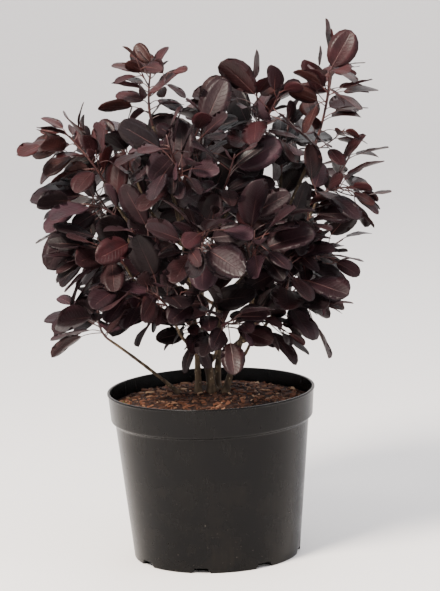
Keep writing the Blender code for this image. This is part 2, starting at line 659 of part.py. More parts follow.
def fuse(name, solids, material):
    """One closed body from many: a Boolean union over a collection, applied."""
    helpers = bpy.data.collections.new(name + "_pieces")
    bpy.context.scene.collection.children.link(helpers)
    base = mesh_object(name, *solids[0], material)
    for k, (verts, faces) in enumerate(solids[1:]):
        piece = mesh_object(f"{name}_piece_{k}", verts, faces, material)
        bpy.context.scene.collection.objects.unlink(piece)
        helpers.objects.link(piece)
    union = base.modifiers.new("union", "BOOLEAN")
    union.operation = "UNION"
    union.operand_type = "COLLECTION"
    union.collection = helpers
    union.solver = "MANIFOLD"
    bpy.context.view_layer.update()
    graph = bpy.context.evaluated_depsgraph_get()
    joined = bpy.data.meshes.new_from_object(base.evaluated_get(graph))
    base.modifiers.clear()
    base.data = joined
    joined.name = name
    for piece in list(helpers.objects):
        bpy.data.objects.remove(piece, do_unlink=True)
    bpy.data.collections.remove(helpers)
    return base


def main():
    clear_scene()
    plastic = plain_material("black_pot_plastic", (0.022, 0.021, 0.020), 0.42)
    bark_mulch = plain_material("potting_mix_bark", (0.10, 0.045, 0.022), 0.95)
    bark = plain_material("grey_brown_bark", (0.12, 0.085, 0.058), 0.8)
    foliage = plain_material("purple_foliage", (0.055, 0.022, 0.028), 0.55)
    build_pot(plastic)
    build_potting_mix(bark_mulch)
    laid = lay_out_limbs()
    space = Space()
    for name, limb in laid.items():
        verts, faces = tube(limb["path"], limb["radii"], limb["sides"], limb["foot_normal"])
        if space.meets(verts, faces):
            print("limb meets another:", name)
        space.add(verts, faces, name)
        mesh_object(name, verts, faces, bark, 40)
    grown = lay_out_twigs(laid, space)
    total = 0
    for name, mass in MASSES.items():
        leaves = grow_leaves(name, mass, grown[name], mass["seed"], space)
        solids = [tube(path, radii, TWIG_SIDES, plane) for path, radii, plane in grown[name]]
        solids += [leaf_solid(leaf) for leaf in leaves]
        fuse(name, solids, foliage)
        total += len(leaves)
        print(name, len(leaves), "of", mass["leaves"])
    print("leaves", total)


if __name__ == "__main__":
    main()
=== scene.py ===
import math
import random

import bpy
import numpy as np
from mathutils import Matrix, Vector
from mathutils.bvhtree import BVHTree


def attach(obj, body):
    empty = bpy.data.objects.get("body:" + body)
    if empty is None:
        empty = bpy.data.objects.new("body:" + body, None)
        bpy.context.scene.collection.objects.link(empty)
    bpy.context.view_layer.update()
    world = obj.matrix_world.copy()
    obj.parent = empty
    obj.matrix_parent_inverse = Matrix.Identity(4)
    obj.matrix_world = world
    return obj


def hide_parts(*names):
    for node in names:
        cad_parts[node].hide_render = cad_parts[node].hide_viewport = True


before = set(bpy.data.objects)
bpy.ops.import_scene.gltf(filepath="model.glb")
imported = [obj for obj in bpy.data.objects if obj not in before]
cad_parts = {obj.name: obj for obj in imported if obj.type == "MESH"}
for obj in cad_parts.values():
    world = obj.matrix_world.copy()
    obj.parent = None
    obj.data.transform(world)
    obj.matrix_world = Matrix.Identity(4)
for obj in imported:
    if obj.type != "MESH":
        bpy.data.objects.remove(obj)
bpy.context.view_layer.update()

# Metres, +Z up; the pot's flat underside is centred on the origin and -Y is the front.
# The limbs and leafy shoots grow by the same seeded rule as the solids, then carry on to finer twigs.


# Nodes, materials and meshes

def linear(hexColour):  # sRGB hex to linear red, green, blue, alpha
    shares = [int(hexColour[i:i + 2], 16) / 255 for i in (1, 3, 5)]
    return tuple(c / 12.92 if c <= 0.04045 else ((c + 0.055) / 1.055) ** 2.4 for c in shares) + (1.0,)


def shaded(hexColour, factor):  # the same hue with each channel multiplied
    return "#%02x%02x%02x" % tuple(min(255, int(int(hexColour[i:i + 2], 16) * factor)) for i in (1, 3, 5))


def linkTo(tree, node, sources):  # a source is a socket, or a node for its first output
    for key, source in sources.items():
        socket = source.outputs[0] if isinstance(source, bpy.types.Node) else source
        tree.links.new(socket, node.inputs[key])


def addNode(tree, kind, settings=None, links=None):  # settings are the node's properties or else its sockets
    node = tree.nodes.new("ShaderNode" + kind)
    for key, value in (settings or {}).items():
        if isinstance(key, str) and hasattr(node, key):
            setattr(node, key, value)
        else:
            node.inputs[key].default_value = value
    linkTo(tree, node, links or {})
    return node


def newMaterial(name, baseHex, roughness, sockets=None):
    made = bpy.data.materials.new(name)
    made.use_nodes = True
    shader = made.node_tree.nodes["Principled BSDF"]
    shader.inputs["Base Color"].default_value = linear(baseHex)
    shader.inputs["Roughness"].default_value = roughness
    for socket, value in (sockets or {}).items():
        shader.inputs[socket].default_value = value
    return made, made.node_tree, shader


smooth = {"interpolation_type": "SMOOTHSTEP"}  # a range that eases in and out
colours = {"data_type": "RGBA"}  # a mix whose share is socket 0, its colours 6 and 7 and its result 2


def patches(tree, spot, millimetres, detail, low, high):
    # noise with grains of about that size, turned to 0 up to low and to 1 from high
    noise = addNode(tree, "TexNoise", {"Scale": 1000 / millimetres, "Detail": detail}, {"Vector": spot})
    return addNode(tree, "MapRange", smooth | {"From Min": low, "From Max": high}, {"Value": noise})


def grain(tree, shader, spot, millimetres, detail, depth):
    # relief from noise with grains of about that size; the depth is in millimetres too
    noise = addNode(tree, "TexNoise", {"Scale": 1000 / millimetres, "Detail": detail}, {"Vector": spot})
    linkTo(tree, shader, {"Normal": addNode(tree, "Bump", {"Distance": depth / 1000}, {"Height": noise})})


def putMesh(name, verts, faces, material, uv=None, smoothAngle=None):
    # verts is an array of places; faces a list of corner lists; uv one pair for each vertex
    mesh = bpy.data.meshes.new(name)
    mesh.from_pydata(np.asarray(verts, float).tolist(), [], faces)
    mesh.materials.append(material)
    if uv is not None:
        corners = np.empty(len(mesh.loops), np.int32)
        mesh.loops.foreach_get("vertex_index", corners)
        uvLayer = mesh.uv_layers.new(name="UVMap")
        uvLayer.data.foreach_set("uv", np.asarray(uv, np.float32)[corners].ravel())
    if smoothAngle is not None:
        mesh.shade_smooth()
        if smoothAngle < 180:
            mesh.set_sharp_from_angle(angle=math.radians(smoothAngle))
    mesh.update()
    made = bpy.data.objects.new(name, mesh)
    bpy.context.scene.collection.objects.link(made)
    return made


def place(piece, nodes=()):  # every piece rides on the one body
    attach(piece, "root")
    if nodes:
        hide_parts(*nodes)
    print("made", piece.name, len(piece.data.polygons), "faces")


noiseCells = 24
noiseTable = np.random.default_rng(11).random((noiseCells,) * 3)


def softNoise(points, cell):  # random values on a lattice of that cell, blended smoothly between its corners
    scaled = np.asarray(points, float) / cell
    base = np.floor(scaled).astype(int)
    share = scaled - base
    share = share * share * (3 - 2 * share)
    total = 0
    for corner in range(8):
        step = np.array([corner & 1, corner >> 1 & 1, corner >> 2 & 1])
        weight = np.prod(np.where(step, share, 1 - share), axis=-1)
        index = (base + step) % noiseCells
        total = total + weight * noiseTable[index[..., 0], index[..., 1], index[..., 2]]
    return total


def ringFaces(rows, sides):  # quads between each ring of vertices and the next
    i, j = np.meshgrid(np.arange(rows - 1), np.arange(sides), indexing="ij")
    a, b = i * sides + j, i * sides + (j + 1) % sides
    return np.stack([a, b, b + sides, a + sides], axis=-1).reshape(-1, 4).tolist()


def fanFaces(first, sides, pole, turned):  # triangles from one ring to its pole
    around = np.arange(sides)
    onward = (around + 1) % sides
    edge = (first + onward, first + around) if turned else (first + around, first + onward)
    return np.stack([np.full(sides, pole), *edge], axis=-1).tolist()


def turnedSurface(profile, segments, closed=True):
    # a profile of (radius, height) rows carried round Z; its first row, and its last where closed, is a pole
    turn = np.arange(segments) * (math.tau / segments)
    rings = profile[1:-1] if closed else profile[1:]
    verts = np.stack([rings[:, :1] * np.cos(turn), rings[:, :1] * np.sin(turn),
                      np.repeat(rings[:, 1:], segments, axis=1)], axis=-1)
    count = len(rings)
    poles = np.array([[0, 0, profile[0, 1]], [0, 0, profile[-1, 1]]][:2 if closed else 1])
    faces = ringFaces(count, segments) + fanFaces(0, segments, count * segments, True)
    if closed:
        faces += fanFaces((count - 1) * segments, segments, count * segments + 1, False)
    return verts, poles, faces


def rounded(corners, steps=4):
    # corners of (radius, height, rounding); a rounding is a parabola that starts and ends that far off
    corners = np.array(corners, float)
    points = [corners[0, :2]]
    for before, corner, after in zip(corners, corners[1:], corners[2:]):
        here, size = corner[:2], corner[2]
        back, on = before[:2] - here, after[:2] - here
        backLength, onLength = np.linalg.norm(back), np.linalg.norm(on)
        start = here + back / backLength * min(size, backLength * 0.45)
        end = here + on / onLength * min(size, onLength * 0.45)
        t = np.linspace(0, 1, steps)[:, None]
        points += list(start * (1 - t) ** 2 + here * 2 * t * (1 - t) + end * t * t) if size else [here]
    points.append(corners[-1, :2])
    return np.array(points)


# Camera, light and stage

view = dict(place=(0.0175, -3.52, 0.9671), pitch=9.897, roll=-2.344, focalPixels=2665.5, imageHeight=591,
            sensor=36)
lamps = {  # azimuth is from the front, to the camera's left where negative, and all look at the crown
    "keyLight": dict(azimuth=-38, elevation=46, distance=2.6, size=0.8, power=215, colour="#fff4e6"),
    "fillLight": dict(azimuth=62, elevation=28, distance=2.9, size=1.8, power=26, colour="#eef3ff"),
    "rimLight": dict(azimuth=165, elevation=48, distance=2.8, size=1.6, power=22, colour="#ffffff"),
}
light = dict(target=(0, 0, 0.35), skyStrength=1.55, sky="#f2f3f6")
stage = dict(colour="#f3efed", flat=4.2, far=7.5, rise=3.6, segments=96)


def aimedMatrix(spot, forward, side):  # its columns are the side, the up, the backward way and the place
    columns = [side, side.cross(forward), -forward, spot]
    return Matrix([[column[row] for column in columns] for row in range(3)] + [[0, 0, 0, 1]])


def addCamera():
    pitch, roll = math.radians(view["pitch"]), math.radians(view["roll"])
    forward = Vector((0, math.cos(pitch), -math.sin(pitch)))
    level = Vector((1, 0, 0))
    side = level * math.cos(roll) + level.cross(forward) * math.sin(roll)
    data = bpy.data.cameras.new("camera")
    data.sensor_width = view["sensor"]
    data.lens = view["focalPixels"] / view["imageHeight"] * view["sensor"]
    data.clip_start, data.clip_end = 0.05, 60
    camera = bpy.data.objects.new("camera", data)
    bpy.context.scene.collection.objects.link(camera)
    camera.matrix_world = aimedMatrix(Vector(view["place"]), forward, side)
    bpy.context.scene.camera = camera


def addAreaLight(name, azimuth, elevation, distance, size, power, colour):
    a, e = math.radians(azimuth), math.radians(elevation)
    target = Vector(light["target"])
    spot = target + Vector((math.sin(a) * math.cos(e), -math.cos(a) * math.cos(e), math.sin(e))) * distance
    forward = (target - spot).normalized()
    data = bpy.data.lights.new(name, "AREA")
    data.shape = "DISK"
    data.size, data.energy, data.color = size, power, linear(colour)[:3]
    made = bpy.data.objects.new(name, data)
    bpy.context.scene.collection.objects.link(made)
    side = forward.cross(Vector((0, 0, 1))).normalized()
    made.matrix_world = aimedMatrix(spot, forward, side)


def addLights():
    for name, lamp in lamps.items():
        addAreaLight(name, **lamp)
    world = bpy.data.worlds.new("studio")
    world.use_nodes = True
    sky = world.node_tree.nodes["Background"]
    sky.inputs["Color"].default_value = linear(light["sky"])
    sky.inputs["Strength"].default_value = light["skyStrength"]
    bpy.context.scene.world = world


def addStage():
    # a round floor whose edge curls up: over a quarter turn its radius goes by the sine and its height by one
    # minus the cosine
    quarter = np.linspace(0, math.pi / 2, 14)[1:]
    curl = np.stack([stage["flat"] + (stage["far"] - stage["flat"]) * np.sin(quarter),
                     stage["rise"] * (1 - np.cos(quarter))], axis=-1)
    level = np.stack([np.linspace(0.4, stage["flat"], 8), np.zeros(8)], axis=-1)
    verts, poles, faces = turnedSurface(np.vstack([[[0, 0]], level, curl]), stage["segments"], closed=False)
    paint, _, _ = newMaterial("matPaintedFloor", stage["colour"], 0.9)  # matt paint, no highlights
    floor = putMesh("floor", np.concatenate([verts.reshape(-1, 3), poles]), [face[::-1] for face in faces],
                    paint, smoothAngle=180)


# Pot

pot = dict(height=0.227, rimRadius=0.140, baseRadius=0.1125, wall=0.002, collarHeight=0.038,
           collarFoot=0.1362, collarStep=0.0055, stepDrop=0.004, lip=0.0032, lipDraft=0.0012, floor=0.003,
           ledgeHeight=0.011, ledgeRadius=0.094, footRounding=0.0022, stepRounding=0.002, rimRounding=0.0011,
           rimEdge=0.0016, notches=8, notchWidth=0.026, notchHeight=0.007, notchDepth=0.015, notchSlope=0.14,
           notchTurn=math.radians(-11.5), segments=360,
           plastic="#050506", dust="#171411", lowerBandTop=0.19, grit="#544e48")


def wallRadius(height):
    top = pot["height"] - pot["collarHeight"] - pot["stepDrop"]
    return pot["baseRadius"] + (pot["collarFoot"] - pot["collarStep"] - pot["baseRadius"]) * height / top


def mouldedPolypropylene():
    # injection-moulded black polypropylene: a satin skin with dust in clouds and streaks and pale grit that
    # clings to it, the whole made paler towards the bottom
    made, tree, shader = newMaterial("mouldedPolypropylene", pot["plastic"], 0.42,
                                     {"IOR": 1.49, "Specular IOR Level": 0.12})
    spot = addNode(tree, "TexCoord").outputs["Object"]
    height = addNode(tree, "SeparateXYZ", None, {0: spot}).outputs[2]
    # from this height down the skin is mixed paler towards the bottom
    low = addNode(tree, "MapRange", smooth | {"From Min": pot["lowerBandTop"], "From Max": 0.0}, {"Value": height})
    upright = addNode(tree, "Mapping", {"Scale": (1, 1, 0.12)}, {"Vector": spot})
    lower = addNode(tree, "MapRange", smooth | {"To Min": 0.30, "To Max": 0.75}, {"Value": low})
    streaks = addNode(tree, "MapRange", smooth | {"To Min": 0.45, "To Max": 0.95},
                      {"Value": patches(tree, upright, 5, 5, 0.42, 0.75)})
    times = {"operation": "MULTIPLY"}
    clouds = addNode(tree, "Math", times, {0: patches(tree, spot, 34, 6, 0.34, 0.74), 1: lower})
    dusty = addNode(tree, "Math", times, {0: clouds, 1: streaks})
    colour = addNode(tree, "Mix", colours | {6: linear(pot["plastic"]), 7: linear(pot["dust"])}, {0: dusty})
    specks = addNode(tree, "Math", times, {0: patches(tree, spot, 2.2, 2, 0.71, 0.78), 1: low})
    colour = addNode(tree, "Mix", colours | {7: linear(pot["grit"])}, {0: specks, 6: colour.outputs[2]})
    dull = addNode(tree, "MapRange", smooth | {"From Max": 0.8, "To Min": 0.26, "To Max": 0.50},
                   {"Value": dusty})
    linkTo(tree, shader, {"Base Color": colour.outputs[2], "Roughness": dull})
    grain(tree, shader, spot, 1.6, 3, 0.06)
    return made


def makePot():
    collarFoot = pot["height"] - pot["collarHeight"]
    stepFoot = collarFoot - pot["stepDrop"]
    lipFoot = pot["height"] - pot["lip"]
    notchEnd = pot["baseRadius"] - pot["notchDepth"]
    outside = [(0, 0, 0), (notchEnd - 0.0004, 0, 0), (notchEnd + 0.0004, 0, 0),
               (pot["baseRadius"], 0, pot["footRounding"])]
    outside += [(wallRadius(h), h, 0) for h in np.linspace(0.003, 0.009, 7)]  # rows for the notches' tops
    outside += [(wallRadius(h), h, 0) for h in np.linspace(0.02, stepFoot - 0.02, 7)]
    outside += [(wallRadius(stepFoot), stepFoot, pot["stepRounding"]),
                (pot["collarFoot"], collarFoot, pot["footRounding"]),
                (pot["rimRadius"] - pot["lipDraft"], lipFoot, 0.0006),
                (pot["rimRadius"], lipFoot + 0.0008, 0.0005),
                (pot["rimRadius"], pot["height"], pot["rimRounding"])]
    inside = [(pot["rimRadius"] - pot["wall"] - pot["rimEdge"], pot["height"], 0.0009),
              (pot["collarFoot"] - pot["wall"], collarFoot, pot["stepRounding"]),
              (wallRadius(stepFoot) - pot["wall"], stepFoot, pot["stepRounding"]),
              (wallRadius(pot["ledgeHeight"]) - pot["wall"], pot["ledgeHeight"], 0),
              (pot["ledgeRadius"], pot["ledgeHeight"], 0), (pot["ledgeRadius"], pot["floor"], 0),
              (0, pot["floor"], 0)]
    verts, poles, faces = turnedSurface(rounded(outside + inside), pot["segments"])
    # a notch lifts the foot of the wall: full height over the middle of its width, sloping to nothing at its
    # ends
    turn = np.arctan2(verts[..., 1], verts[..., 0]) + math.pi / 2 - pot["notchTurn"]
    step = math.tau / pot["notches"]
    offset = np.abs((turn + step / 2) % step - step / 2) * pot["baseRadius"] / pot["notchWidth"]
    lift = np.clip((0.5 - offset) / pot["notchSlope"], 0, 1) * pot["notchHeight"]
    radius = np.hypot(verts[..., 0], verts[..., 1])
    outer = np.arange(len(verts))[:, None] < len(verts) * 0.5
    lifted = np.maximum(verts[..., 2], lift)
    verts[..., 2] = np.where(outer & (radius > notchEnd), lifted, verts[..., 2])
    place(putMesh("nurseryPot", np.concatenate([verts.reshape(-1, 3), poles]), faces, mouldedPolypropylene(),
                  smoothAngle=38), ["pot"])


# Potting mix: a mound of composted bark under a layer of chips

mix = dict(crown=0.220, crownRadius=0.052, edge=0.207, fall=(0.7, 0.3), gap=0.0003, wallGap=0.0006,
           relief=0.0022, lump=0.014, smallLump=0.005, smallShare=0.8, fade=0.004, rings=64,
           innerRing=0.002, segments=220, soil="#2f1b14", soilDark="#160d0a")
chips = dict(count=1300, length=(0.005, 0.015), crumbs=1500, crumbLength=(0.0012, 0.0035), corners=6,
             tilt=0.22, wallGap=0.006, crumbWallGap=0.002, thin=0.16, crumbThin=0.4, sink=0.1,
             shorter=(0.6, 1.0), slim=(0.35, 0.7), uneven=0.3, ragged=(0.75, 1.1), unlike=(0.6, 1.4),
             thickness=(0.0004, 0.003), upperFace=0.9,
             mixture={"#5f3a28": 0.30, "#42281c": 0.32, "#7d5a44": 0.16, "#2c1a15": 0.18, "#a5876c": 0.04})
moss = dict(blades=900, length=(0.0014, 0.0032), wallGap=(0.022, 0.004), thin=0.3, sink=-0.6,
            patch=(-0.112, -0.012), patchRadius=0.021, patchStretch=0.5, tuft=(-0.070, -0.088),
            tuftRadius=0.007, colour="#5d6a2c")


def moundEdgeRadius():
    collarFoot = pot["height"] - pot["collarHeight"]
    share = (mix["edge"] - collarFoot) / pot["collarHeight"]
    flare = (pot["rimRadius"] - pot["rimEdge"] - pot["collarFoot"]) * share
    return pot["collarFoot"] + flare - pot["wall"] - mix["wallGap"]


def moundHeight(radius):  # level under the stems, then a smooth fall to the pot's wall
    share = np.clip((radius - mix["crownRadius"]) / (moundEdgeRadius() - mix["crownRadius"]), 0, 1)
    straight, curved = mix["fall"]
    return mix["crown"] - (mix["crown"] - mix["edge"]) * (straight * share + curved * share * share)


def moundRelief(x, y):  # lumps with smaller ones on them
    flat = np.stack([x, y, np.zeros_like(x)], axis=-1)
    large = (softNoise(flat, mix["lump"]) - 0.6) * mix["relief"]
    return large + (softNoise(flat + 3, mix["smallLump"]) - 0.5) * mix["relief"] * mix["smallShare"]


def compostedBark():
    # damp composted bark: no shine, with dark and redder patches at random
    made, tree, shader = newMaterial("compostedBark", mix["soil"], 0.95, {"Specular IOR Level": 0.25})
    spot = addNode(tree, "TexCoord").outputs["Object"]
    colour = addNode(tree, "Mix", colours | {6: linear(mix["soilDark"]), 7: linear(mix["soil"])},
                     {0: patches(tree, spot, 4, 5, 0.35, 0.7)})
    linkTo(tree, shader, {"Base Color": colour.outputs[2]})
    grain(tree, shader, spot, 1.5, 5, 0.8)
    return made


def barkChip(name, colour):
    # a split chip of bark: fibrous along its grain, dull, each batch in one plain colour
    made, tree, shader = newMaterial(name, colour, 0.86, {"Specular IOR Level": 0.3})
    spot = addNode(tree, "TexCoord").outputs["Object"]
    grain(tree, shader, addNode(tree, "Mapping", {"Scale": (1, 0.3, 1)}, {"Vector": spot}), 1.2, 4, 0.35)
    return made


def makeMound():
    edge = moundEdgeRadius()
    stepFoot = pot["height"] - pot["collarHeight"] - pot["stepDrop"]
    clear = pot["wall"] + mix["wallGap"]
    inner = pot["ledgeRadius"] - mix["wallGap"]
    low, ledge = pot["floor"] + mix["gap"], pot["ledgeHeight"] + mix["gap"]
    side = [(0, low), (inner, low), (inner, ledge), (wallRadius(ledge) - clear, ledge),
            (wallRadius(stepFoot) - clear, stepFoot), (edge, mix["edge"])]
    radii = np.concatenate([np.linspace(edge, mix["innerRing"], mix["rings"])[1:], [0.0]])
    top = np.stack([radii, moundHeight(radii)], axis=-1)
    verts, poles, faces = turnedSurface(np.vstack([side, top]), mix["segments"])
    radius = np.hypot(verts[..., 0], verts[..., 1])
    onTop = np.arange(len(verts))[:, None] >= len(side)
    fade = np.clip((edge - radius) / mix["fade"], 0, 1)
    verts[..., 2] += np.where(onTop, moundRelief(verts[..., 0], verts[..., 1]) * fade, 0)
    poles[1, 2] += moundRelief(np.zeros(1), np.zeros(1))[0]
    place(putMesh("pottingMix", np.concatenate([verts.reshape(-1, 3), poles]), faces, compostedBark(),
                  smoothAngle=180), ["potting_mix"])


def flakes(rng, count, lengths, radiusRange, thin, sink):
    # six-cornered prisms: long, uneven outlines, turned at random, tilted a little and laid on the mound
    corners = chips["corners"]
    uneven = chips["uneven"]
    length = rng.uniform(*lengths, count) * rng.uniform(*chips["shorter"], count)
    width = length * rng.uniform(*chips["slim"], count)
    around = (np.arange(corners) + rng.uniform(-uneven, uneven, (count, corners))) * (math.tau / corners)
    outline = np.stack([np.cos(around) * length[:, None] / 2, np.sin(around) * width[:, None] / 2], -1)
    outline *= rng.uniform(*chips["ragged"], (count, corners, 1))
    thickness = np.clip(length * thin * rng.uniform(*chips["unlike"], count), *chips["thickness"])
    low, high = radiusRange
    radius = np.sqrt(rng.uniform(low ** 2, high ** 2, count))
    turn = rng.uniform(0, math.tau, count)
    x, y = radius * np.cos(turn), radius * np.sin(turn)
    z = moundHeight(radius) + moundRelief(x, y) + thickness * (0.5 - sink)
    yaw = rng.uniform(0, math.tau, count)
    along = np.stack([np.cos(yaw), np.sin(yaw), rng.normal(0, chips["tilt"], count)], -1)
    along /= np.linalg.norm(along, axis=1, keepdims=True)
    upward = np.stack([rng.normal(0, chips["tilt"], count), rng.normal(0, chips["tilt"], count),
                       np.ones(count)], -1)
    across = np.cross(upward, along)
    across /= np.linalg.norm(across, axis=1, keepdims=True)
    upward = np.cross(along, across)
    flat = outline[..., :1] * along[:, None] + outline[..., 1:] * across[:, None]
    centre = np.stack([x, y, z], -1)[:, None]
    half = (upward * thickness[:, None] / 2)[:, None]
    verts = np.concatenate([centre + flat * chips["upperFace"] + half, centre + flat - half], axis=1)
    k = np.arange(corners)
    sides = np.stack([k, k + corners, (k + 1) % corners + corners, (k + 1) % corners], -1)
    return verts, [list(range(corners)), list(range(2 * corners - 1, corners - 1, -1))] + sides.tolist()


def joinedCopies(verts, pattern):  # verts is copies by corners by 3; each copy has the same faces
    copies, corners = verts.shape[:2]
    firsts = range(0, copies * corners, corners)
    return verts.reshape(-1, 3), [[first + corner for corner in face] for first in firsts for face in pattern]


def makeChips():
    rng = np.random.default_rng(5)
    edge = moundEdgeRadius()
    area, crumbArea = (0.0, edge - chips["wallGap"]), (0.0, edge - chips["crumbWallGap"])
    for number, (colour, share) in enumerate(chips["mixture"].items(), 1):
        material = barkChip("barkChip%d" % number, colour)
        count, crumbs = int(chips["count"] * share), int(chips["crumbs"] * share)
        big, pattern = flakes(rng, count, chips["length"], area, chips["thin"], chips["sink"])
        small, _ = flakes(rng, crumbs, chips["crumbLength"], crumbArea, chips["crumbThin"], 0.0)
        verts, faces = joinedCopies(np.concatenate([big, small]), pattern)
        place(putMesh("barkChips%d" % number, verts, faces, material))
    # a patch of moss against the wall on the left and a tuft before it: short blades, raised off the mound
    ring = tuple(edge - gap for gap in moss["wallGap"])
    blades, pattern = flakes(rng, moss["blades"], moss["length"], ring, moss["thin"], moss["sink"])
    centre = blades.mean(axis=1)[:, :2]
    fromPatch = (centre - moss["patch"]) * (1, moss["patchStretch"])
    patch = np.linalg.norm(fromPatch, axis=1) < moss["patchRadius"]
    patch |= np.linalg.norm(centre - moss["tuft"], axis=1) < moss["tuftRadius"]
    cushionMoss, _, _ = newMaterial("cushionMoss", moss["colour"], 0.9)  # dull green, no shine
    place(putMesh("moss", *joinedCopies(blades[patch], pattern), cushionMoss))


# Limbs and masses, the same as the solids'. A stem has a foot on the mix and a radius at foot and tip, and a
# bough leaves its stem at a height. Every tip and bow is a place or a distance in x, y and z.

limbs = {
    "stem_centre": dict(foot=(0.002, 0.007), tip=(-0.004, -0.005, 0.501), bow=(-0.007, 0.004, 0.0),
                        radii=(0.0058, 0.0026)),
    "stem_left": dict(foot=(-0.017, 0.004), tip=(-0.062, -0.018, 0.586), bow=(0.014, 0.006, 0.0),
                      radii=(0.0042, 0.0020)),
    "stem_right": dict(foot=(0.019, -0.001), tip=(0.142, 0.000, 0.527), bow=(-0.004, 0.006, 0.004),
                       radii=(0.0044, 0.0022)),
    "stem_back": dict(foot=(0.008, 0.026), tip=(0.020, 0.096, 0.500), bow=(0.004, -0.004, 0.0),
                      radii=(0.0046, 0.0021)),
    "stem_low_left": dict(foot=(-0.043, 0.006), tip=(-0.132, -0.025, 0.303), bow=(0.0, 0.0, 0.002),
                          radii=(0.0026, 0.0017)),
    "bough_top": dict(on="stem_centre", at=0.430, tip=(0.069, 0.020, 0.534)),
    "bough_upper_right": dict(on="stem_right", at=0.425, tip=(0.106, 0.034, 0.508)),
    "bough_far_left": dict(on="stem_left", at=0.395, tip=(-0.129, -0.015, 0.514)),
    "bough_left_upper": dict(on="stem_left", at=0.425, tip=(-0.088, 0.036, 0.507)),
    "bough_left_mid": dict(on="stem_left", at=0.360, tip=(-0.113, -0.034, 0.465)),
    "bough_left_low": dict(on="stem_left", at=0.318, tip=(-0.105, -0.050, 0.405)),
    "bough_front_upper": dict(on="stem_left", at=0.438, tip=(-0.027, -0.062, 0.499)),
    "bough_front": dict(on="stem_centre", at=0.345, tip=(-0.007, -0.080, 0.412)),
    "bough_front_left": dict(on="stem_left", at=0.285, tip=(-0.046, -0.070, 0.340)),
    "bough_front_low": dict(on="stem_centre", at=0.262, tip=(0.013, -0.070, 0.308)),
    "bough_front_right": dict(on="stem_right", at=0.330, tip=(0.058, -0.080, 0.396)),
    "bough_right_mid": dict(on="stem_right", at=0.405, tip=(0.150, -0.022, 0.478)),
    "bough_right_low": dict(on="stem_right", at=0.335, tip=(0.118, -0.024, 0.391)),
    "bough_bottom_right": dict(on="stem_right", at=0.290, tip=(0.092, -0.046, 0.345)),
    "bough_bottom_centre": dict(on="stem_right", at=0.258, tip=(0.062, -0.028, 0.312)),
    "bough_back_left": dict(on="stem_back", at=0.330, tip=(-0.070, 0.074, 0.440)),
    "bough_back_right": dict(on="stem_back", at=0.345, tip=(0.094, 0.078, 0.440)),
    "bough_back": dict(on="stem_back", at=0.300, tip=(0.010, 0.120, 0.385)),
    "bough_back_low_left": dict(on="stem_back", at=0.262, tip=(-0.064, 0.074, 0.322)),
    "bough_back_low_right": dict(on="stem_back", at=0.268, tip=(0.082, 0.082, 0.330)),
}

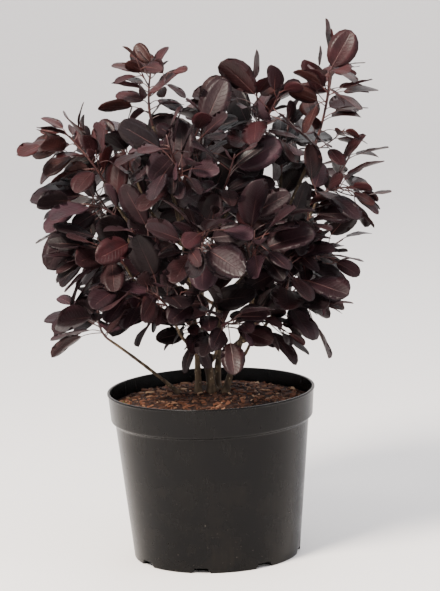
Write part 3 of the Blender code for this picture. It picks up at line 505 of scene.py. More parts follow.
# What a mass has unless it says otherwise: leaves, a mature leaf's length, how far leaves reach from its
# stem, side twigs and a tint that deals out the leaf colours, where 1 is the reddest young growth.
usualMass = dict(leaves=12, leaf=0.056, reach=0.085, twigs=1, tint=0.15)
massesOwn = {
    "shoot_high_right": dict(on="stem_right", tip=(0.182, -0.008, 0.680), leaves=20, leaf=0.050, reach=0.110,
                             seed=233, tint=1.0),
    "shoot_high_left": dict(on="stem_left", tip=(-0.060, -0.020, 0.666), leaf=0.044, twigs=0, seed=248,
                            tint=0.85),
    "shoot_far_left": dict(on="bough_far_left", tip=(-0.179, -0.020, 0.584), leaves=16, leaf=0.050,
                           reach=0.090, seed=105, tint=1.0),
    "shoot_left_mid": dict(on="bough_left_mid", tip=(-0.190, -0.024, 0.486), leaf=0.060, reach=0.090,
                           seed=250, tint=0.2),
    "shoot_left_low": dict(on="bough_left_low", tip=(-0.170, -0.055, 0.420), leaf=0.058, reach=0.090,
                           seed=179),
    "shoot_low_left": dict(on="stem_low_left", tip=(-0.144, -0.040, 0.362), leaves=8, leaf=0.060, reach=0.095,
                           twigs=0, seed=212),
    "shoot_top": dict(on="bough_top", tip=(0.076, 0.015, 0.628), leaves=16, leaf=0.054, reach=0.095, seed=59,
                      tint=0.55),
    "shoot_crown_left": dict(on="stem_centre", tip=(0.005, -0.030, 0.606), reach=0.090, seed=250, tint=0.3),
    "shoot_left_upper": dict(on="bough_left_upper", tip=(-0.112, 0.036, 0.575), leaf=0.050, seed=120,
                             tint=0.45),
    "shoot_upper_right": dict(on="bough_upper_right", tip=(0.121, 0.024, 0.580), leaf=0.052, seed=26,
                              tint=0.35),
    "shoot_right_mid": dict(on="bough_right_mid", tip=(0.194, -0.030, 0.496), leaf=0.054, reach=0.095,
                            seed=46, tint=0.55),
    "shoot_right_low": dict(on="bough_right_low", tip=(0.172, -0.030, 0.402), leaf=0.052, seed=272),
    "shoot_bottom_right": dict(on="bough_bottom_right", tip=(0.150, -0.070, 0.345), leaf=0.058, reach=0.090,
                               seed=126, tint=0.35),
    "shoot_bottom_centre": dict(on="bough_bottom_centre", tip=(0.102, -0.060, 0.312), leaves=8, leaf=0.046,
                                reach=0.080, twigs=0, seed=290, tint=0.35),
    "shoot_front_upper": dict(on="bough_front_upper", tip=(-0.041, -0.120, 0.570), leaf=0.058, seed=196),
    "shoot_front": dict(on="bough_front", tip=(0.002, -0.160, 0.465), leaf=0.058, seed=271),
    "shoot_front_right": dict(on="bough_front_right", tip=(0.077, -0.145, 0.450), leaf=0.058, seed=24),
    "shoot_front_left": dict(on="bough_front_left", tip=(-0.078, -0.130, 0.385), seed=236),
    "shoot_front_low": dict(on="bough_front_low", tip=(0.037, -0.140, 0.345), seed=263),
    "shoot_heart_left": dict(on="stem_left", at=0.372, tip=(-0.094, -0.094, 0.462), leaves=8, leaf=0.060,
                             reach=0.080, twigs=0, seed=50),
    "shoot_heart_top": dict(on="stem_centre", at=0.448, tip=(0.044, -0.080, 0.552), leaves=8, leaf=0.058,
                            reach=0.080, twigs=0, seed=9),
    "shoot_heart_right": dict(on="stem_right", at=0.375, tip=(0.126, -0.085, 0.462), leaves=8, reach=0.080,
                              twigs=0, seed=272),
    "shoot_side_left": dict(on="stem_left", at=0.348, tip=(-0.128, 0.052, 0.430), leaf=0.054, seed=213),
    "shoot_side_right": dict(on="stem_right", at=0.360, tip=(0.158, 0.058, 0.452), leaf=0.054, seed=183,
                             tint=0.3),
    "shoot_heart_back": dict(on="stem_back", at=0.395, tip=(-0.030, 0.118, 0.490), leaves=8, reach=0.080,
                             twigs=0, seed=297),
    "shoot_foot": dict(on="stem_centre", at=0.300, tip=(-0.028, -0.045, 0.325), leaves=8, leaf=0.046,
                       reach=0.070, twigs=0, seed=340, tint=0.25),
    "shoot_back_top": dict(on="stem_back", tip=(0.020, 0.090, 0.596), reach=0.090, twigs=2, seed=179,
                           tint=0.6),
    "shoot_back_left": dict(on="bough_back_left", tip=(-0.118, 0.104, 0.505), seed=189, tint=0.45),
    "shoot_back_right": dict(on="bough_back_right", tip=(0.142, 0.106, 0.505), seed=371, tint=0.4),
    "shoot_back": dict(on="bough_back", tip=(0.010, 0.168, 0.455), seed=391, tint=0.3),
    "shoot_back_low_left": dict(on="bough_back_low_left", tip=(-0.122, 0.104, 0.370), seed=122),
    "shoot_back_low_right": dict(on="bough_back_low_right", tip=(0.134, 0.112, 0.375), seed=280),
}
masses = {name: usualMass | own for name, own in massesOwn.items()}

growth = dict(stemSides=7, stemRings=9, stemTaper=0.8, rootFlare=0.45, flareHeight=0.012, flareRing=0.3,
              boughSides=5, boughRings=5, boughRadius=0.0025, boughTipRadius=0.0017, boughSag=0.09,
              boughBulge=0.05, twigSides=3, shootRings=6, sideShootRadius=0.0018, shootRise=0.6,
              sideTwigRings=4, sideTwigRadius=0.0015, twigEndRadius=0.0011, knee=0.42, twigFoot=(0.15, 0.55),
              twigLength=(0.65, 0.9), twigLean=0.75, twigRise=0.35, tries=14, clearance=0.0006)
leafRule = dict(goldenTurn=math.radians(137.508), wander=0.5, wanderGrowth=0.6, firstLeaf=0.12,
                firstSideLeaf=0.3, lastLeaf=0.985, youngFrom=0.72, youngShorter=0.42, youngPetiole=0.35,
                youngSteeper=30, youngLift=0.8, size=(0.82, 1.22), width=(0.50, 0.74), arch=(0.02, 0.20),
                fold=(0.05, 0.35), tilt=(-0.1, 1.1), roll=0.5, pull=0.35, droop=0.75, petioleSag=0.3,
                faceOut=0.2, spread=(48.0, 72.0), thickness=0.0016, stations=((0.36, 0.90), (0.77, 0.92)),
                middle=0.55, petiole=(0.28, 0.62), rootRadius=0.00042, petioleRadius=0.0007, keel=1.3,
                lowest=mix["crown"] + 0.004)
leafTip = 6 + len(leafRule["stations"])
bladeFrom = 4
crownCentre = Vector((0.0, 0.02, 0.40))
up = Vector((0.0, 0.0, 1.0))


def unitAcross(axis, hint):  # the part of hint that is square to axis, as a unit vector
    across = hint - axis * hint.dot(axis)
    return (across if across.length >= 1e-5 else axis.orthogonal()).normalized()


def bowedPath(start, tip, bow, count):  # straight plus bow times a parabola that is 1 at mid-length
    steps = [i / (count - 1) for i in range(count)]
    return [start.lerp(tip, t) + bow * (4 * t * (1 - t)) for t in steps]


def kneedPath(start, direction, tip, count):  # a quadratic curve from start to tip that sets off that way
    knee = start + direction * ((tip - start).length * growth["knee"])
    steps = [i / (count - 1) for i in range(count)]
    return [start * (1 - t) ** 2 + knee * (2 * t * (1 - t)) + tip * t * t for t in steps]


def tapered(thick, thin, count):
    return [thick + (thin - thick) * i / (count - 1) for i in range(count)]


def tangentAt(path, i):
    low, high = max(i - 1, 0), min(i + 1, len(path) - 1)
    return (path[high] - path[low]).normalized()


def alongPath(path, t):  # point and direction at the share t of a path's steps
    spot = min(max(t, 0.0), 1.0) * (len(path) - 1)
    i = min(int(spot), len(path) - 2)
    direction = tangentAt(path, i).lerp(tangentAt(path, i + 1), spot - i)
    return path[i].lerp(path[i + 1], spot - i), direction.normalized()


def coarseTube(path, radii, sides, footNormal=None):  # the solids' own tube; footNormal turns the first ring
    verts, faces = [], []
    across = unitAcross(tangentAt(path, 0), Vector((0.3, 1.0, 0.2)))
    for i, (centre, radius) in enumerate(zip(path, radii)):
        axis = tangentAt(path, i)
        across = unitAcross(axis, across)
        other = axis.cross(across)
        for k in range(sides):
            a = k * math.tau / sides
            point = centre + (across * math.cos(a) + other * math.sin(a)) * radius
            if i == 0 and footNormal is not None:
                point -= axis * ((point - centre).dot(footNormal) / axis.dot(footNormal))
            verts.append(point)
    last = len(path) - 1
    faces.append(tuple(reversed(range(sides))))
    faces.append(tuple(last * sides + k for k in range(sides)))
    for i in range(last):
        for k in range(sides):
            j = (k + 1) % sides
            faces.append((i * sides + k, i * sides + j, (i + 1) * sides + j, (i + 1) * sides + k))
    return verts, faces


def pathAtHeight(path, radii, height):  # point, direction and radius where a rising path passes a height
    for i in range(len(path) - 1):
        if path[i].z <= height <= path[i + 1].z:
            share = (height - path[i].z) / (path[i + 1].z - path[i].z)
            direction = (path[i + 1] - path[i]).normalized()
            return path[i].lerp(path[i + 1], share), direction, radii[i] + (radii[i + 1] - radii[i]) * share


def layOutStem(limb):
    start = Vector((*limb["foot"], mix["crown"] + mix["gap"]))
    tip, bow = Vector(limb["tip"]), Vector(limb["bow"])
    path = bowedPath(start, tip, bow, growth["stemRings"])
    path.insert(1, path[0].lerp(path[1], growth["flareRing"]))
    lift = [(point - start).length for point in path]
    thick, thin = limb["radii"]
    flares = [thick * growth["rootFlare"] * math.exp(-d / growth["flareHeight"]) for d in lift]
    radii = [thick + (thin - thick) * (d / lift[-1]) ** growth["stemTaper"] + flare
             for d, flare in zip(lift, flares)]
    return dict(path=path, radii=radii, sides=growth["stemSides"], footNormal=up, start=start, tip=tip,
                bow=bow, thick=thick, thin=thin, stem=True)


def layOutBough(limb, parent):
    point, axis, radius = pathAtHeight(parent["path"], parent["radii"], limb["at"])
    tip = Vector(limb["tip"])
    normal = unitAcross(axis, tip - point)
    start = point + normal * (radius + mix["gap"])
    reach = tip - start
    level = Vector((reach.x, reach.y, 0.0)).normalized()
    bow = (level * growth["boughBulge"] - up * growth["boughSag"]) * reach.length
    thick, thin, rings = growth["boughRadius"], growth["boughTipRadius"], growth["boughRings"]
    return dict(path=bowedPath(start, tip, bow, rings), radii=tapered(thick, thin, rings),
                sides=growth["boughSides"], footNormal=normal, start=start, tip=tip, bow=bow, inside=point,
                thick=thick, thin=thin, stem=False)


def layOutLimbs():
    laid = {}
    for name, limb in limbs.items():
        laid[name] = layOutBough(limb, laid[limb["on"]]) if "on" in limb else layOutStem(limb)
    return laid


def coarseLeaf(leaf, swell=0.0):
    # the solids' leaf: a three-sided petiole that opens into a fan of faces over and under the midrib
    root, heel, along, rise = leaf["root"], leaf["heel"], leaf["along"], leaf["up"]
    half, length = leaf["width"] / 2, leaf["length"]
    side = rise.cross(along)
    stalk = (heel - root).normalized()
    stalkSide = unitAcross(stalk, side)
    stalkUp = stalk.cross(stalkSide)
    thin, thick = leafRule["rootRadius"] + swell, leafRule["petioleRadius"] + swell
    verts = [root + stalkSide * thin, root - stalkSide * thin, root - stalkUp * (thin * leafRule["keel"])]
    verts += [heel + side * thick, heel - side * thick, heel - rise * (thick * leafRule["keel"])]

    def onBlade(share, across):
        point = heel + along * (length * share) - rise * (length * leaf["arch"] * share * share)
        return point + side * across + rise * (abs(across) * leaf["fold"])

    outline = [(share, half * fullness + swell) for share, fullness in leafRule["stations"]]
    verts += [onBlade(share, across) for share, across in outline]
    verts.append(onBlade(1.0, 0.0) + along * swell)
    verts += [onBlade(share, -across) for share, across in reversed(outline)]
    middle = onBlade(leafRule["middle"], 0.0)
    thickness = leafRule["thickness"] / 2 + swell
    verts += [middle + rise * thickness, middle - rise * thickness]
    over, under = len(verts) - 2, len(verts) - 1
    rim = [3] + list(range(6, over)) + [4]
    faces = [(0, 2, 1), (0, 1, 4, 3), (1, 2, 5, 4), (2, 0, 3, 5)]
    faces += [(4, 5, under), (5, 3, under), (3, 4, over)]
    faces += [(b, a, over) for a, b in zip(rim, rim[1:])]
    faces += [(a, b, under) for a, b in zip(rim, rim[1:])]
    return verts, faces


class Space:  # what has grown so far, which nothing else may touch
    def __init__(self):
        self.solids = []

    def add(self, verts, faces, owner):
        low = Vector([min(v[k] for v in verts) for k in range(3)])
        high = Vector([max(v[k] for v in verts) for k in range(3)])
        self.solids.append((low, high, BVHTree.FromPolygons(verts, faces), owner))

    def meets(self, verts, faces, but=None, only=None):
        low = [min(v[k] for v in verts) for k in range(3)]
        high = [max(v[k] for v in verts) for k in range(3)]
        tree = None
        for low2, high2, other, owner in self.solids:
            if owner == but or (only and owner != only):
                continue
            if any(low[k] > high2[k] or high[k] < low2[k] for k in range(3)):
                continue
            tree = tree or BVHTree.FromPolygons(verts, faces)
            if tree.overlap(other):
                return True
        return False


def distanceToPath(point, path):
    best = 1e9
    for a, b in zip(path, path[1:]):
        edge = b - a
        share = min(max((point - a).dot(edge) / edge.length_squared, 0.0), 1.0)
        best = min(best, (a + edge * share - point).length)
    return best


def aimLeaf(rng, point, axis, turn, t, mass):
    # a leaf at the share t of a twig's length: young and steep near the tip, mature and drooping below
    hint = unitAcross(axis, Vector((0.2, 0.3, 1.0)))
    out = hint * math.cos(turn) + axis.cross(hint) * math.sin(turn)
    outward = ((point - crownCentre) * Vector((1, 1, 0))).normalized()
    young = max(0.0, (t - leafRule["youngFrom"]) / (1 - leafRule["youngFrom"]))
    spread = math.radians(rng.uniform(*leafRule["spread"]) - leafRule["youngSteeper"] * young)
    stalk = out * math.sin(spread) + axis * math.cos(spread)
    length = mass["leaf"] * rng.uniform(*leafRule["size"]) * (1 - leafRule["youngShorter"] * young)
    petioleLength = length * rng.uniform(*leafRule["petiole"]) * (1 - leafRule["youngPetiole"] * young)
    droop = rng.uniform(0.0, leafRule["droop"]) * (1 - leafRule["youngLift"] * young)
    heel = point + (stalk - up * (leafRule["petioleSag"] * droop)) * petioleLength
    along = (stalk + outward * leafRule["pull"] - up * droop).normalized()
    rise = unitAcross(along, up + outward * rng.uniform(*leafRule["tilt"]) + out * leafRule["faceOut"])
    roll = rng.gauss(0.0, leafRule["roll"])
    rise = rise * math.cos(roll) + along.cross(rise) * math.sin(roll)
    width = length * rng.uniform(*leafRule["width"])
    return dict(root=point, heel=heel, along=along, up=rise, length=length, width=width,
                arch=rng.uniform(*leafRule["arch"]), fold=rng.uniform(*leafRule["fold"]), young=young)


def layOutShoot(mass, parent):  # a mass's own stem: on from its limb's tip, or out of the limb's side
    tip = Vector(mass["tip"])
    if "at" in mass:
        point, axis, radius = pathAtHeight(parent["path"], parent["radii"], mass["at"])
        footNormal = unitAcross(axis, tip - point)
        start = point + footNormal * (radius + mix["gap"])
        heading = (footNormal + axis * growth["shootRise"]).normalized()
        thick = growth["sideShootRadius"]
    else:
        footNormal = heading = tangentAt(parent["path"], len(parent["path"]) - 1)
        point = start = parent["path"][-1] + heading * mix["gap"]
        thick = parent["radii"][-1]
    path = kneedPath(start, heading, tip, growth["shootRings"])
    radii = tapered(thick, growth["twigEndRadius"], growth["shootRings"])
    return dict(path=path, radii=radii, footNormal=footNormal, start=start, heading=heading, tip=tip,
                inside=point, thick=thick, fine=False)


def layOutSideTwig(rng, mass, shoot, lengths, feet):
    point, axis = alongPath(shoot, rng.uniform(*feet))
    turn = rng.uniform(0, math.tau)
    hint = unitAcross(axis, point - crownCentre)
    lean = axis * growth["twigLean"] + hint * math.cos(turn) + axis.cross(hint) * math.sin(turn)
    lean.normalize()
    tip = point + (lean + up * growth["twigRise"]).normalized() * (mass["reach"] * rng.uniform(*lengths))
    path = kneedPath(point, lean, tip, growth["sideTwigRings"])
    radii = tapered(growth["sideTwigRadius"], growth["twigEndRadius"], growth["sideTwigRings"])
    return dict(path=path, radii=radii, footNormal=None, start=point, heading=lean, tip=tip, inside=point,
                thick=growth["sideTwigRadius"], fine=False)


def settle(twig, name, space):  # a twig is kept where it keeps its clearance to all but its own mass
    path, sides = twig["path"], growth["twigSides"]
    wide = [radius + growth["clearance"] for radius in twig["radii"]]
    if space.meets(*coarseTube(path, wide, sides), but=name):
        return False
    space.add(*coarseTube(path, twig["radii"], sides), name)
    return True


def layOutTwigs(laid, space):  # all the masses' stems and side twigs stand before any leaf grows
    grown = {}
    for name, mass in masses.items():
        shoot = layOutShoot(mass, laid[mass["on"]])
        space.add(*coarseTube(shoot["path"], shoot["radii"], growth["twigSides"], shoot["footNormal"]), name)
        grown[name] = [shoot]
    for number, (name, mass) in enumerate(masses.items()):
        rng = random.Random(number)
        shoot = grown[name][0]["path"]
        for _ in range(mass["twigs"]):
            for _ in range(growth["tries"]):
                twig = layOutSideTwig(rng, mass, shoot, growth["twigLength"], growth["twigFoot"])
                if settle(twig, name, space):
                    grown[name].append(twig)
                    break
    return grown


def leafSites(count, twigs, first):  # point, direction, turn about the twig and share of its length
    lengths = [(twig["path"][-1] - twig["path"][0]).length for twig in twigs]
    counts = [round(count * length / sum(lengths)) for length in lengths]
    counts[0] = count - sum(counts[1:])
    sites = []
    for number, twig in enumerate(twigs):
        begin = leafRule["firstSideLeaf"] if number else first
        for i in range(counts[number]):
            t = min(begin + (1.0 - begin) * (i + 0.6) / counts[number], leafRule["lastLeaf"])
            sites.append((*alongPath(twig["path"], t), (number + i) * leafRule["goldenTurn"], t))
    return sites


def growLeaves(name, mass, sites, shoot, seed, space, tries):
    # at each site the leaf is aimed anew until it is in reach, clear of the mix and meets nothing
    rng = random.Random(seed)
    leaves = []
    for point, axis, turn, t in sites:
        for attempt in range(tries):
            wider = 1 + leafRule["wanderGrowth"] * attempt
            wander = rng.uniform(-leafRule["wander"], leafRule["wander"]) * wider
            leaf = aimLeaf(rng, point, axis, turn + wander, t, mass)
            verts, faces = coarseLeaf(leaf, growth["clearance"])
            if distanceToPath(verts[leafTip], shoot) > mass["reach"]:
                continue
            if min(vert.z for vert in verts) < leafRule["lowest"]:
                continue
            if space.meets(verts, faces, but=name) or space.meets(verts, faces[bladeFrom:], only=name):
                continue
            space.add(*coarseLeaf(leaf), (name, "leaf"))
            leaves.append(leaf)
            break
    return leaves


# Finer growth within the same reach: thin twigs off the shoots, and smaller leaves on old and new twigs

fineGrowth = dict(twigs=2, twigLeaves=4, fillLeaves=7, size=0.72, twigLength=(0.35, 0.6), twigFoot=(0.1, 0.8),
                  radius=0.0010, endRadius=0.0008, firstLeaf=0.05, tries=10, twigSeed=1000, leafSeed=500)


def growFine(grown, space):
    fine = {}
    for number, (name, mass) in enumerate(masses.items()):
        rng = random.Random(fineGrowth["twigSeed"] + number)
        small = dict(mass, leaf=mass["leaf"] * fineGrowth["size"])
        shoot = grown[name][0]["path"]
        added = []
        for _ in range(fineGrowth["twigs"]):
            for _ in range(fineGrowth["tries"]):
                twig = layOutSideTwig(rng, mass, shoot, fineGrowth["twigLength"], fineGrowth["twigFoot"])
                twig["radii"] = tapered(fineGrowth["radius"], fineGrowth["endRadius"], len(twig["path"]))
                twig["thick"], twig["fine"] = fineGrowth["radius"], True
                if settle(twig, name, space):
                    added.append(twig)
                    break
        sites = leafSites(fineGrowth["fillLeaves"], grown[name][:1], fineGrowth["firstLeaf"])
        if added:
            sites += leafSites(fineGrowth["twigLeaves"] * len(added), added, leafRule["firstLeaf"])
        seed = fineGrowth["leafSeed"] + number
        fine[name] = growLeaves(name, small, sites, shoot, seed, space, fineGrowth["tries"])
        grown[name] += added
    return fine


# Bark and twigs as tubes of fine rings

bark = dict(sides=14, ringGap=0.004, relief=0.06, reliefCell=0.004, budGap=0.027, budStart=0.01,
            budLength=0.0022, budSwell=0.16, footDepth=0.004, footSwell=1.02, collar=0.0009,
            collarLength=0.005, lenticelGap=4.0, old="#5f4f3d", oldDark="#372c22", lenticel="#94836b")
twigLook = dict(sides=7, rings=26, fineRings=14, fineEnd=0.0007, relief=0.05, reliefCell=0.003, budGap=0.019,
                budLength=0.0016, budSwell=0.22, young="#432420", youngDark="#2c1619")


def bowedCurve(limb, t):  # straight from start to tip plus bow times a parabola that is 1 at mid-length
    t = t[:, None]
    start, tip, bow = (np.array(limb[key]) for key in ("start", "tip", "bow"))
    return start * (1 - t) + tip * t + bow * 4 * t * (1 - t)


def kneedCurve(twig, t):  # quadratic curve with its knee on the heading
    start, tip = np.array(twig["start"]), np.array(twig["tip"])
    knee = start + np.array(twig["heading"]) * np.linalg.norm(tip - start) * growth["knee"]
    t = t[:, None]
    return start * (1 - t) ** 2 + knee * 2 * t * (1 - t) + tip * t * t


def tubeAlong(path, radii, sides, relief, cell):
    # rings square to the path, each radius swollen by noise; both ends close in a pole a little way past them
    tangent = np.gradient(path, axis=0)
    tangent /= np.linalg.norm(tangent, axis=1, keepdims=True)
    hint = np.eye(3)[np.argmin(np.abs(tangent.mean(axis=0)))]
    across = hint - tangent * (tangent @ hint)[:, None]
    across /= np.linalg.norm(across, axis=1, keepdims=True)
    other = np.cross(tangent, across)
    turn = np.arange(sides) * (math.tau / sides)
    spoke = across[:, None] * np.cos(turn)[None, :, None] + other[:, None] * np.sin(turn)[None, :, None]
    radius = np.repeat(radii[:, None], sides, axis=1)
    where = path[:, None] + spoke * radius[..., None]
    lumps = softNoise(where, cell) + softNoise(where * (1, 1, 0.25) + 7, cell * 0.5) - 1
    verts = path[:, None] + spoke * (radius * (1 + relief * lumps))[..., None]
    rows = len(path)
    faces = ringFaces(rows, sides) + fanFaces(0, sides, rows * sides, True)
    faces += fanFaces((rows - 1) * sides, sides, rows * sides + 1, False)
    ends = np.stack([path[0] - tangent[0] * radii[0] * 0.4, path[-1] + tangent[-1] * radii[-1] * 1.2])
    return np.concatenate([verts.reshape(-1, 3), ends]), faces


def joined(parts):  # parts of (verts, faces) as one pair
    verts, faces, first = [], [], 0
    for partVerts, partFaces in parts:
        verts.append(partVerts)
        faces += [[first + corner for corner in face] for face in partFaces]
        first += len(partVerts)
    return np.concatenate(verts), faces


def budRings(run, look, start=0.0):  # bell-shaped swellings at even steps along a stem
    return np.exp(-(((run + start) % look["budGap"] - look["budGap"] / 2) / look["budLength"]) ** 2)


def smoothBark():
    # thin young bark: grey-brown and dull, with pale lenticels 1 to 2 mm long and darker weather streaks
    made, tree, shader = newMaterial("smoothBark", bark["old"], 0.78, {"Specular IOR Level": 0.35})
    spot = addNode(tree, "TexCoord").outputs["Object"]
    streaked = addNode(tree, "Mapping", {"Scale": (1, 1, 0.25)}, {"Vector": spot})
    colour = addNode(tree, "Mix", colours | {6: linear(bark["oldDark"]), 7: linear(bark["old"])},
                     {0: patches(tree, streaked, 7, 5, 0.38, 0.68)})
    longer = addNode(tree, "Mapping", {"Scale": (1, 1, 0.55)}, {"Vector": spot})
    cells = addNode(tree, "TexVoronoi", {"Scale": 1000 / bark["lenticelGap"]}, {"Vector": longer})
    lenticels = addNode(tree, "MapRange", smooth | {"From Min": 0.22, "From Max": 0.14}, {"Value": cells})
    colour = addNode(tree, "Mix", colours | {7: linear(bark["lenticel"])},
                     {0: lenticels, 6: colour.outputs[2]})
    linkTo(tree, shader, {"Base Color": colour.outputs[2]})
    grain(tree, shader, addNode(tree, "Mapping", {"Scale": (1, 1, 0.4)}, {"Vector": spot}), 1.4, 4, 0.35)
    return made


def youngShootSkin():
    # this year's growth: smooth, dark purple-red skin
    made, tree, shader = newMaterial("youngShootSkin", twigLook["young"], 0.5, {"Specular IOR Level": 0.4})
    spot = addNode(tree, "TexCoord").outputs["Object"]
    colour = addNode(tree, "Mix", colours | {6: linear(twigLook["youngDark"]), 7: linear(twigLook["young"])},
                     {0: patches(tree, spot, 9, 4, 0.35, 0.7)})
    linkTo(tree, shader, {"Base Color": colour.outputs[2]})
    return made


def barkedLimb(limb):
    length = (limb["tip"] - limb["start"]).length
    t = np.linspace(0, 1, max(12, int(length / bark["ringGap"])))
    path, run = bowedCurve(limb, t), t * length
    taper = growth["stemTaper"] if limb["stem"] else 1.0
    radii = limb["thick"] + (limb["thin"] - limb["thick"]) * t ** taper
    if limb["stem"]:  # the foot flares and stands in the mulch
        radii = radii + limb["thick"] * growth["rootFlare"] * np.exp(-run / growth["flareHeight"])
        below, rootRadius = path[:1] - [[0, 0, bark["footDepth"]]], radii[:1] * bark["footSwell"]
    else:  # a collar where it comes out of the stem
        radii = radii + bark["collar"] * np.exp(-run / bark["collarLength"])
        below, rootRadius = [np.array(limb["inside"])], radii[:1]
    run = np.concatenate([[0], run])
    buds = 1 + bark["budSwell"] * budRings(run, bark, bark["budStart"])
    radii = np.concatenate([rootRadius, radii]) * buds
    return tubeAlong(np.concatenate([below, path]), radii, bark["sides"], bark["relief"], bark["reliefCell"])


def makeLimbs(laid):
    material = smoothBark()
    for pieceName, isStem in (("stems", True), ("boughs", False)):
        names = [name for name in laid if laid[name]["stem"] == isStem]
        verts, faces = joined([barkedLimb(laid[name]) for name in names])
        place(putMesh(pieceName, verts, faces, material, smoothAngle=180), names)


def makeTwigs(grown):
    parts = []
    for twig in (twig for twigs in grown.values() for twig in twigs):
        t = np.linspace(0, 1, twigLook["fineRings"] if twig["fine"] else twigLook["rings"])
        path = kneedCurve(twig, t)
        thin = twigLook["fineEnd"] if twig["fine"] else growth["twigEndRadius"]
        run = t * (twig["tip"] - twig["start"]).length
        buds = 1 + twigLook["budSwell"] * budRings(run, twigLook)
        radii = (twig["thick"] + (thin - twig["thick"]) * t) * buds
        if twig["inside"] != twig["start"]:
            path = np.concatenate([[np.array(twig["inside"])], path])
            radii = np.concatenate([radii[:1], radii])
        parts.append(tubeAlong(path, radii, twigLook["sides"], twigLook["relief"], twigLook["reliefCell"]))
    place(putMesh("twigs", *joined(parts), youngShootSkin(), smoothAngle=180))


# Leaves: obovate blades with an arched midrib, raised edges and a slightly wavy margin

blade = dict(stations=(0.0, 0.07, 0.18, 0.33, 0.5, 0.68, 0.84, 0.95), columns=(-1, -0.5, 0, 0.5, 1),
             skin=0.00035, heelWidth=0.0006, wave=0.016, waves=10, twist=0.25)
leafColours = {  # plain colours, dealt out by the shoot's tint and the leaf's age; the mauve one is a painted sheen
    "plumDark": "#1c0c10", "plumBrown": "#210e0f", "plumBlack": "#12080a", "mauvePaintedSheen": "#2b191f",
    "wine": "#270d10", "redBrown": "#29100e", "crimson": "#2e0f10",
}
matureColours = ["plumDark", "plumDark", "plumBrown", "plumBlack", "mauvePaintedSheen"]  # one drawn for each leaf; the mauve is a lighter copy of the leaf colour that paints a sheen
warmFrom = {"crimson": 0.92, "redBrown": 0.68, "wine": 0.48}  # the least warmth that gives the colour
warmth = dict(fromTint=0.75, fromYouth=0.35, spread=0.14, seed=300)
veins = dict(pairs=10.0, slant=5.0, halfWidth=0.10, midrib=(0.012, 0.045), pale=0.22, sunk=0.6, depth=0.00035)


def leafOutline(share):  # widest just past the middle: the root of a parabola on the share raised to 1.15
    eased = share ** 1.15
    return np.sqrt(4 * eased * (1 - eased))


def leafArrays(leaves):
    vectors = {key: np.array([list(one[key]) for one in leaves]) for key in ("root", "heel", "along", "up")}
    numbers = {key: np.array([one[key] for one in leaves]) for key in ("length", "width", "arch", "fold")}
    return vectors, numbers, np.cross(vectors["up"], vectors["along"])


def bladeVerts(leaves, rng):
    # place = heel + along * share - up * arch * share^2 + side * across + up * fold * |across| + a wave of
    # the margin, with the cross-section turned by the twist times the share
    vectors, numbers, side = leafArrays(leaves)
    share, columns = np.array(blade["stations"]), np.array(blade["columns"])
    width, count = leafOutline(share), len(leaves)
    across = (columns[None, None] * width[None, :, None]) * numbers["width"][:, None, None] / 2
    across = np.where(share[None, :, None] == 0, columns * blade["heelWidth"], across)
    down = numbers["length"] * numbers["arch"]
    phase = rng.uniform(0, math.tau, (count, 1, 2))
    phase = np.where(columns < 0, phase[..., :1], phase[..., 1:])
    wave = np.sin(share[None, :, None] * blade["waves"] + phase) * columns ** 2 * width[None, :, None]
    lift = (np.abs(across) * numbers["fold"][:, None, None]
            + wave * (blade["wave"] * numbers["length"])[:, None, None]
            - down[:, None, None] * share[None, :, None] ** 2)
    twist = rng.normal(0, blade["twist"], count)[:, None, None] * share[None, :, None]
    ahead = (numbers["length"][:, None] * share)[..., None, None] * vectors["along"][:, None, None]
    sideways = (across * np.cos(twist))[..., None] * side[:, None, None]
    rising = (lift + across * np.sin(twist))[..., None] * vectors["up"][:, None, None]
    top = vectors["heel"][:, None, None] + ahead + sideways + rising
    tip = vectors["heel"] + vectors["along"] * numbers["length"][:, None] - vectors["up"] * down[:, None]
    bottom = top[:, :, 1:-1] - vectors["up"][:, None, None] * blade["skin"]
    verts = np.concatenate([top.reshape(count, -1, 3), tip[:, None], bottom.reshape(count, -1, 3)], axis=1)
    uv = np.stack(np.broadcast_arrays(columns[None] * 0.5 + 0.5, share[:, None]), -1)
    return verts, np.concatenate([uv.reshape(-1, 2), [[0.5, 1.0]], uv[:, 1:-1].reshape(-1, 2)])


def bladeFaces():  # top and bottom skins share their rim and the tip
    rows, columns = len(blade["stations"]), len(blade["columns"])
    tip = rows * columns

    def over(i, j):
        return i * columns + j

    def under(i, j):
        return over(i, j) if j in (0, columns - 1) else tip + 1 + i * (columns - 2) + j - 1

    faces = []
    for i in range(rows - 1):
        for j in range(columns - 1):
            faces.append([over(i + 1, j), over(i + 1, j + 1), over(i, j + 1), over(i, j)])
            faces.append([under(i, j), under(i, j + 1), under(i + 1, j + 1), under(i + 1, j)])
    for j in range(columns - 1):
        faces.append([tip, over(rows - 1, j + 1), over(rows - 1, j)])
        faces.append([under(rows - 1, j), under(rows - 1, j + 1), tip])
        heel = [j, j + 1, under(0, j + 1), under(0, j)]
        faces.append(sorted(set(heel), key=heel.index))
    return faces


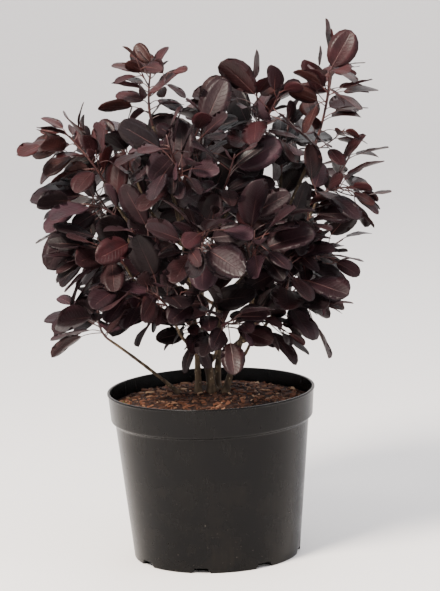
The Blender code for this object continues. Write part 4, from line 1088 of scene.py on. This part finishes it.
def leafSkin(name, colour):
    # a waxy leaf: a satin skin with a thin greyish bloom, a mottled tone and sunk side veins that slant
    # forward from a pale midrib
    bloom = {"Specular IOR Level": 0.2, "Sheen Weight": 0.03, "Sheen Roughness": 0.5,
             "Sheen Tint": linear("#c9a9b8")}
    made, tree, shader = newMaterial(name, colour, 0.46, bloom)
    coordinates = addNode(tree, "TexCoord")
    spot = coordinates.outputs["Object"]
    tone = patches(tree, spot, 22, 4, 0.3, 0.7)
    darker, lighter = linear(shaded(colour, 0.80)), linear(shaded(colour, 1.14))
    mottled = addNode(tree, "Mix", colours | {6: darker, 7: lighter}, {0: tone})
    uv = addNode(tree, "SeparateXYZ", None, {0: coordinates.outputs["UV"]})
    offMid = addNode(tree, "Math", {"operation": "SUBTRACT", 1: 0.5}, {0: uv})
    offMid = addNode(tree, "Math", {"operation": "ABSOLUTE"}, {0: offMid})
    back = addNode(tree, "Math", {"operation": "MULTIPLY", 1: -veins["slant"]}, {0: offMid})
    slanted = addNode(tree, "Math", {"operation": "MULTIPLY_ADD", 1: veins["pairs"]},
                      {0: uv.outputs[1], 2: back})
    fromVein = addNode(tree, "Math", {"operation": "PINGPONG", 1: 0.5}, {0: slanted})
    side = addNode(tree, "MapRange", smooth | {"From Min": veins["halfWidth"], "From Max": 0.0},
                   {"Value": fromVein})
    thin, wide = veins["midrib"]
    middle = addNode(tree, "MapRange", smooth | {"From Min": wide, "From Max": thin}, {"Value": offMid})
    lines = addNode(tree, "Math", {"operation": "MAXIMUM"}, {0: side, 1: middle})
    pale = addNode(tree, "Math", {"operation": "MULTIPLY", 1: veins["pale"]}, {0: lines})
    veined = addNode(tree, "Mix", colours | {7: lighter}, {0: pale, 6: mottled.outputs[2]})
    lumps = addNode(tree, "TexNoise", {"Scale": 1000 / 3, "Detail": 3}, {"Vector": spot})
    sunk = addNode(tree, "Math", {"operation": "MULTIPLY_ADD", 1: -veins["sunk"]}, {0: lines, 2: lumps})
    bump = addNode(tree, "Bump", {"Strength": 0.8, "Distance": veins["depth"]}, {"Height": sunk})
    dull = addNode(tree, "MapRange", smooth | {"To Min": 0.40, "To Max": 0.54}, {"Value": tone})
    linkTo(tree, shader, {"Base Color": veined.outputs[2], "Normal": bump, "Roughness": dull})
    return made


def dealColours(leavesByMass):
    dealt = {name: [] for name in leafColours}
    for number, (name, leaves) in enumerate(leavesByMass.items()):
        rng = random.Random(warmth["seed"] + number)
        fromTint = masses[name]["tint"] * warmth["fromTint"]
        for one in leaves:
            warm = fromTint + one["young"] * warmth["fromYouth"] + rng.gauss(0, warmth["spread"])
            young = [colour for colour, least in warmFrom.items() if warm > least]
            dealt[young[0] if young else rng.choice(matureColours)].append(one)
    return dealt


def makeLeaves(dealt):
    faces = bladeFaces()
    rng = np.random.default_rng(9)
    for number, (colour, leaves) in enumerate(dealt.items()):
        verts, uv = bladeVerts(leaves, rng)
        piece = putMesh("leaves_" + colour, *joinedCopies(verts, faces),
                        leafSkin("leaf_" + colour, leafColours[colour]), np.tile(uv, (len(leaves), 1)), 180)
        place(piece, () if number else list(masses))


petiole = dict(sides=5, rings=5, knee=0.35, rootRadius=0.0008, heelRadius=0.00055, ribRadius=0.00048,
               ribEndRadius=0.00018, ribFrom=0.12, ribTo=0.8, ribDepth=0.0001, colour="#4e2a26",
               colourDark="#331b1b")


def petioleSkin():
    # the leaf stalks: dull pinkish brown, slightly glossy
    made, tree, shader = newMaterial("petioleSkin", petiole["colour"], 0.45)
    spot = addNode(tree, "TexCoord").outputs["Object"]
    colour = addNode(tree, "Mix", colours | {6: linear(petiole["colourDark"]), 7: linear(petiole["colour"])},
                     {0: patches(tree, spot, 30, 2, 0.4, 0.65)})
    linkTo(tree, shader, {"Base Color": colour.outputs[2]})
    return made


def makePetioles(leaves):
    # a stalk from the twig to the blade's heel that runs on under the blade as its rib, thinning to its end
    vectors, numbers, side = leafArrays(leaves)
    sides, rings = petiole["sides"], petiole["rings"]
    t = np.linspace(0, 1, rings)[:, None]
    root, heel, along = vectors["root"][:, None], vectors["heel"][:, None], vectors["along"][:, None]
    knee = heel - along * np.linalg.norm(heel - root, axis=-1, keepdims=True) * petiole["knee"]
    stalk = root * (1 - t) ** 2 + knee * 2 * t * (1 - t) + heel * t * t
    share = np.linspace(petiole["ribFrom"], petiole["ribTo"], rings)
    length = numbers["length"][:, None]
    drop = length * numbers["arch"][:, None] * share ** 2 + petiole["ribDepth"]
    rib = heel + along * (length * share)[..., None] - vectors["up"][:, None] * drop[..., None]
    path = np.concatenate([stalk, rib], axis=1)
    radii = np.concatenate([np.linspace(petiole["rootRadius"], petiole["heelRadius"], rings),
                            np.linspace(petiole["ribRadius"], petiole["ribEndRadius"], rings)])
    tangent = np.gradient(path, axis=1)
    tangent /= np.linalg.norm(tangent, axis=-1, keepdims=True)
    across = side[:, None] - tangent * np.sum(tangent * side[:, None], axis=-1, keepdims=True)
    across /= np.linalg.norm(across, axis=-1, keepdims=True)
    other = np.cross(tangent, across)
    turn = np.arange(sides) * (math.tau / sides)
    spoke = across[:, :, None] * np.cos(turn)[:, None] + other[:, :, None] * np.sin(turn)[:, None]
    verts = (path[:, :, None] + spoke * radii[None, :, None, None]).reshape(len(leaves), -1, 3)
    rows = len(radii)
    pattern = [list(range(sides))[::-1], [(rows - 1) * sides + k for k in range(sides)]]
    pattern += ringFaces(rows, sides)
    place(putMesh("petioles", *joinedCopies(verts, pattern), petioleSkin(), smoothAngle=180))


addCamera()
addLights()
addStage()
makePot()
makeMound()
makeChips()
laidLimbs = layOutLimbs()
space = Space()
for limbName, limb in laidLimbs.items():
    space.add(*coarseTube(limb["path"], limb["radii"], limb["sides"], limb["footNormal"]), limbName)
grownTwigs = layOutTwigs(laidLimbs, space)
mainLeaves = {}
for massName, mass in masses.items():
    leafPlaces = leafSites(mass["leaves"], grownTwigs[massName], leafRule["firstLeaf"])
    mainLeaves[massName] = growLeaves(massName, mass, leafPlaces, grownTwigs[massName][0]["path"],
                                      mass["seed"], space, growth["tries"])
print("leaves of the solids", sum(map(len, mainLeaves.values())))
fineLeaves = growFine(grownTwigs, space)
print("finer leaves", sum(map(len, fineLeaves.values())))
makeLimbs(laidLimbs)
makeTwigs(grownTwigs)
allLeaves = {massName: mainLeaves[massName] + fineLeaves[massName] for massName in masses}
makeLeaves(dealColours(allLeaves))
makePetioles([one for leaves in allLeaves.values() for one in leaves])
print("scene done")
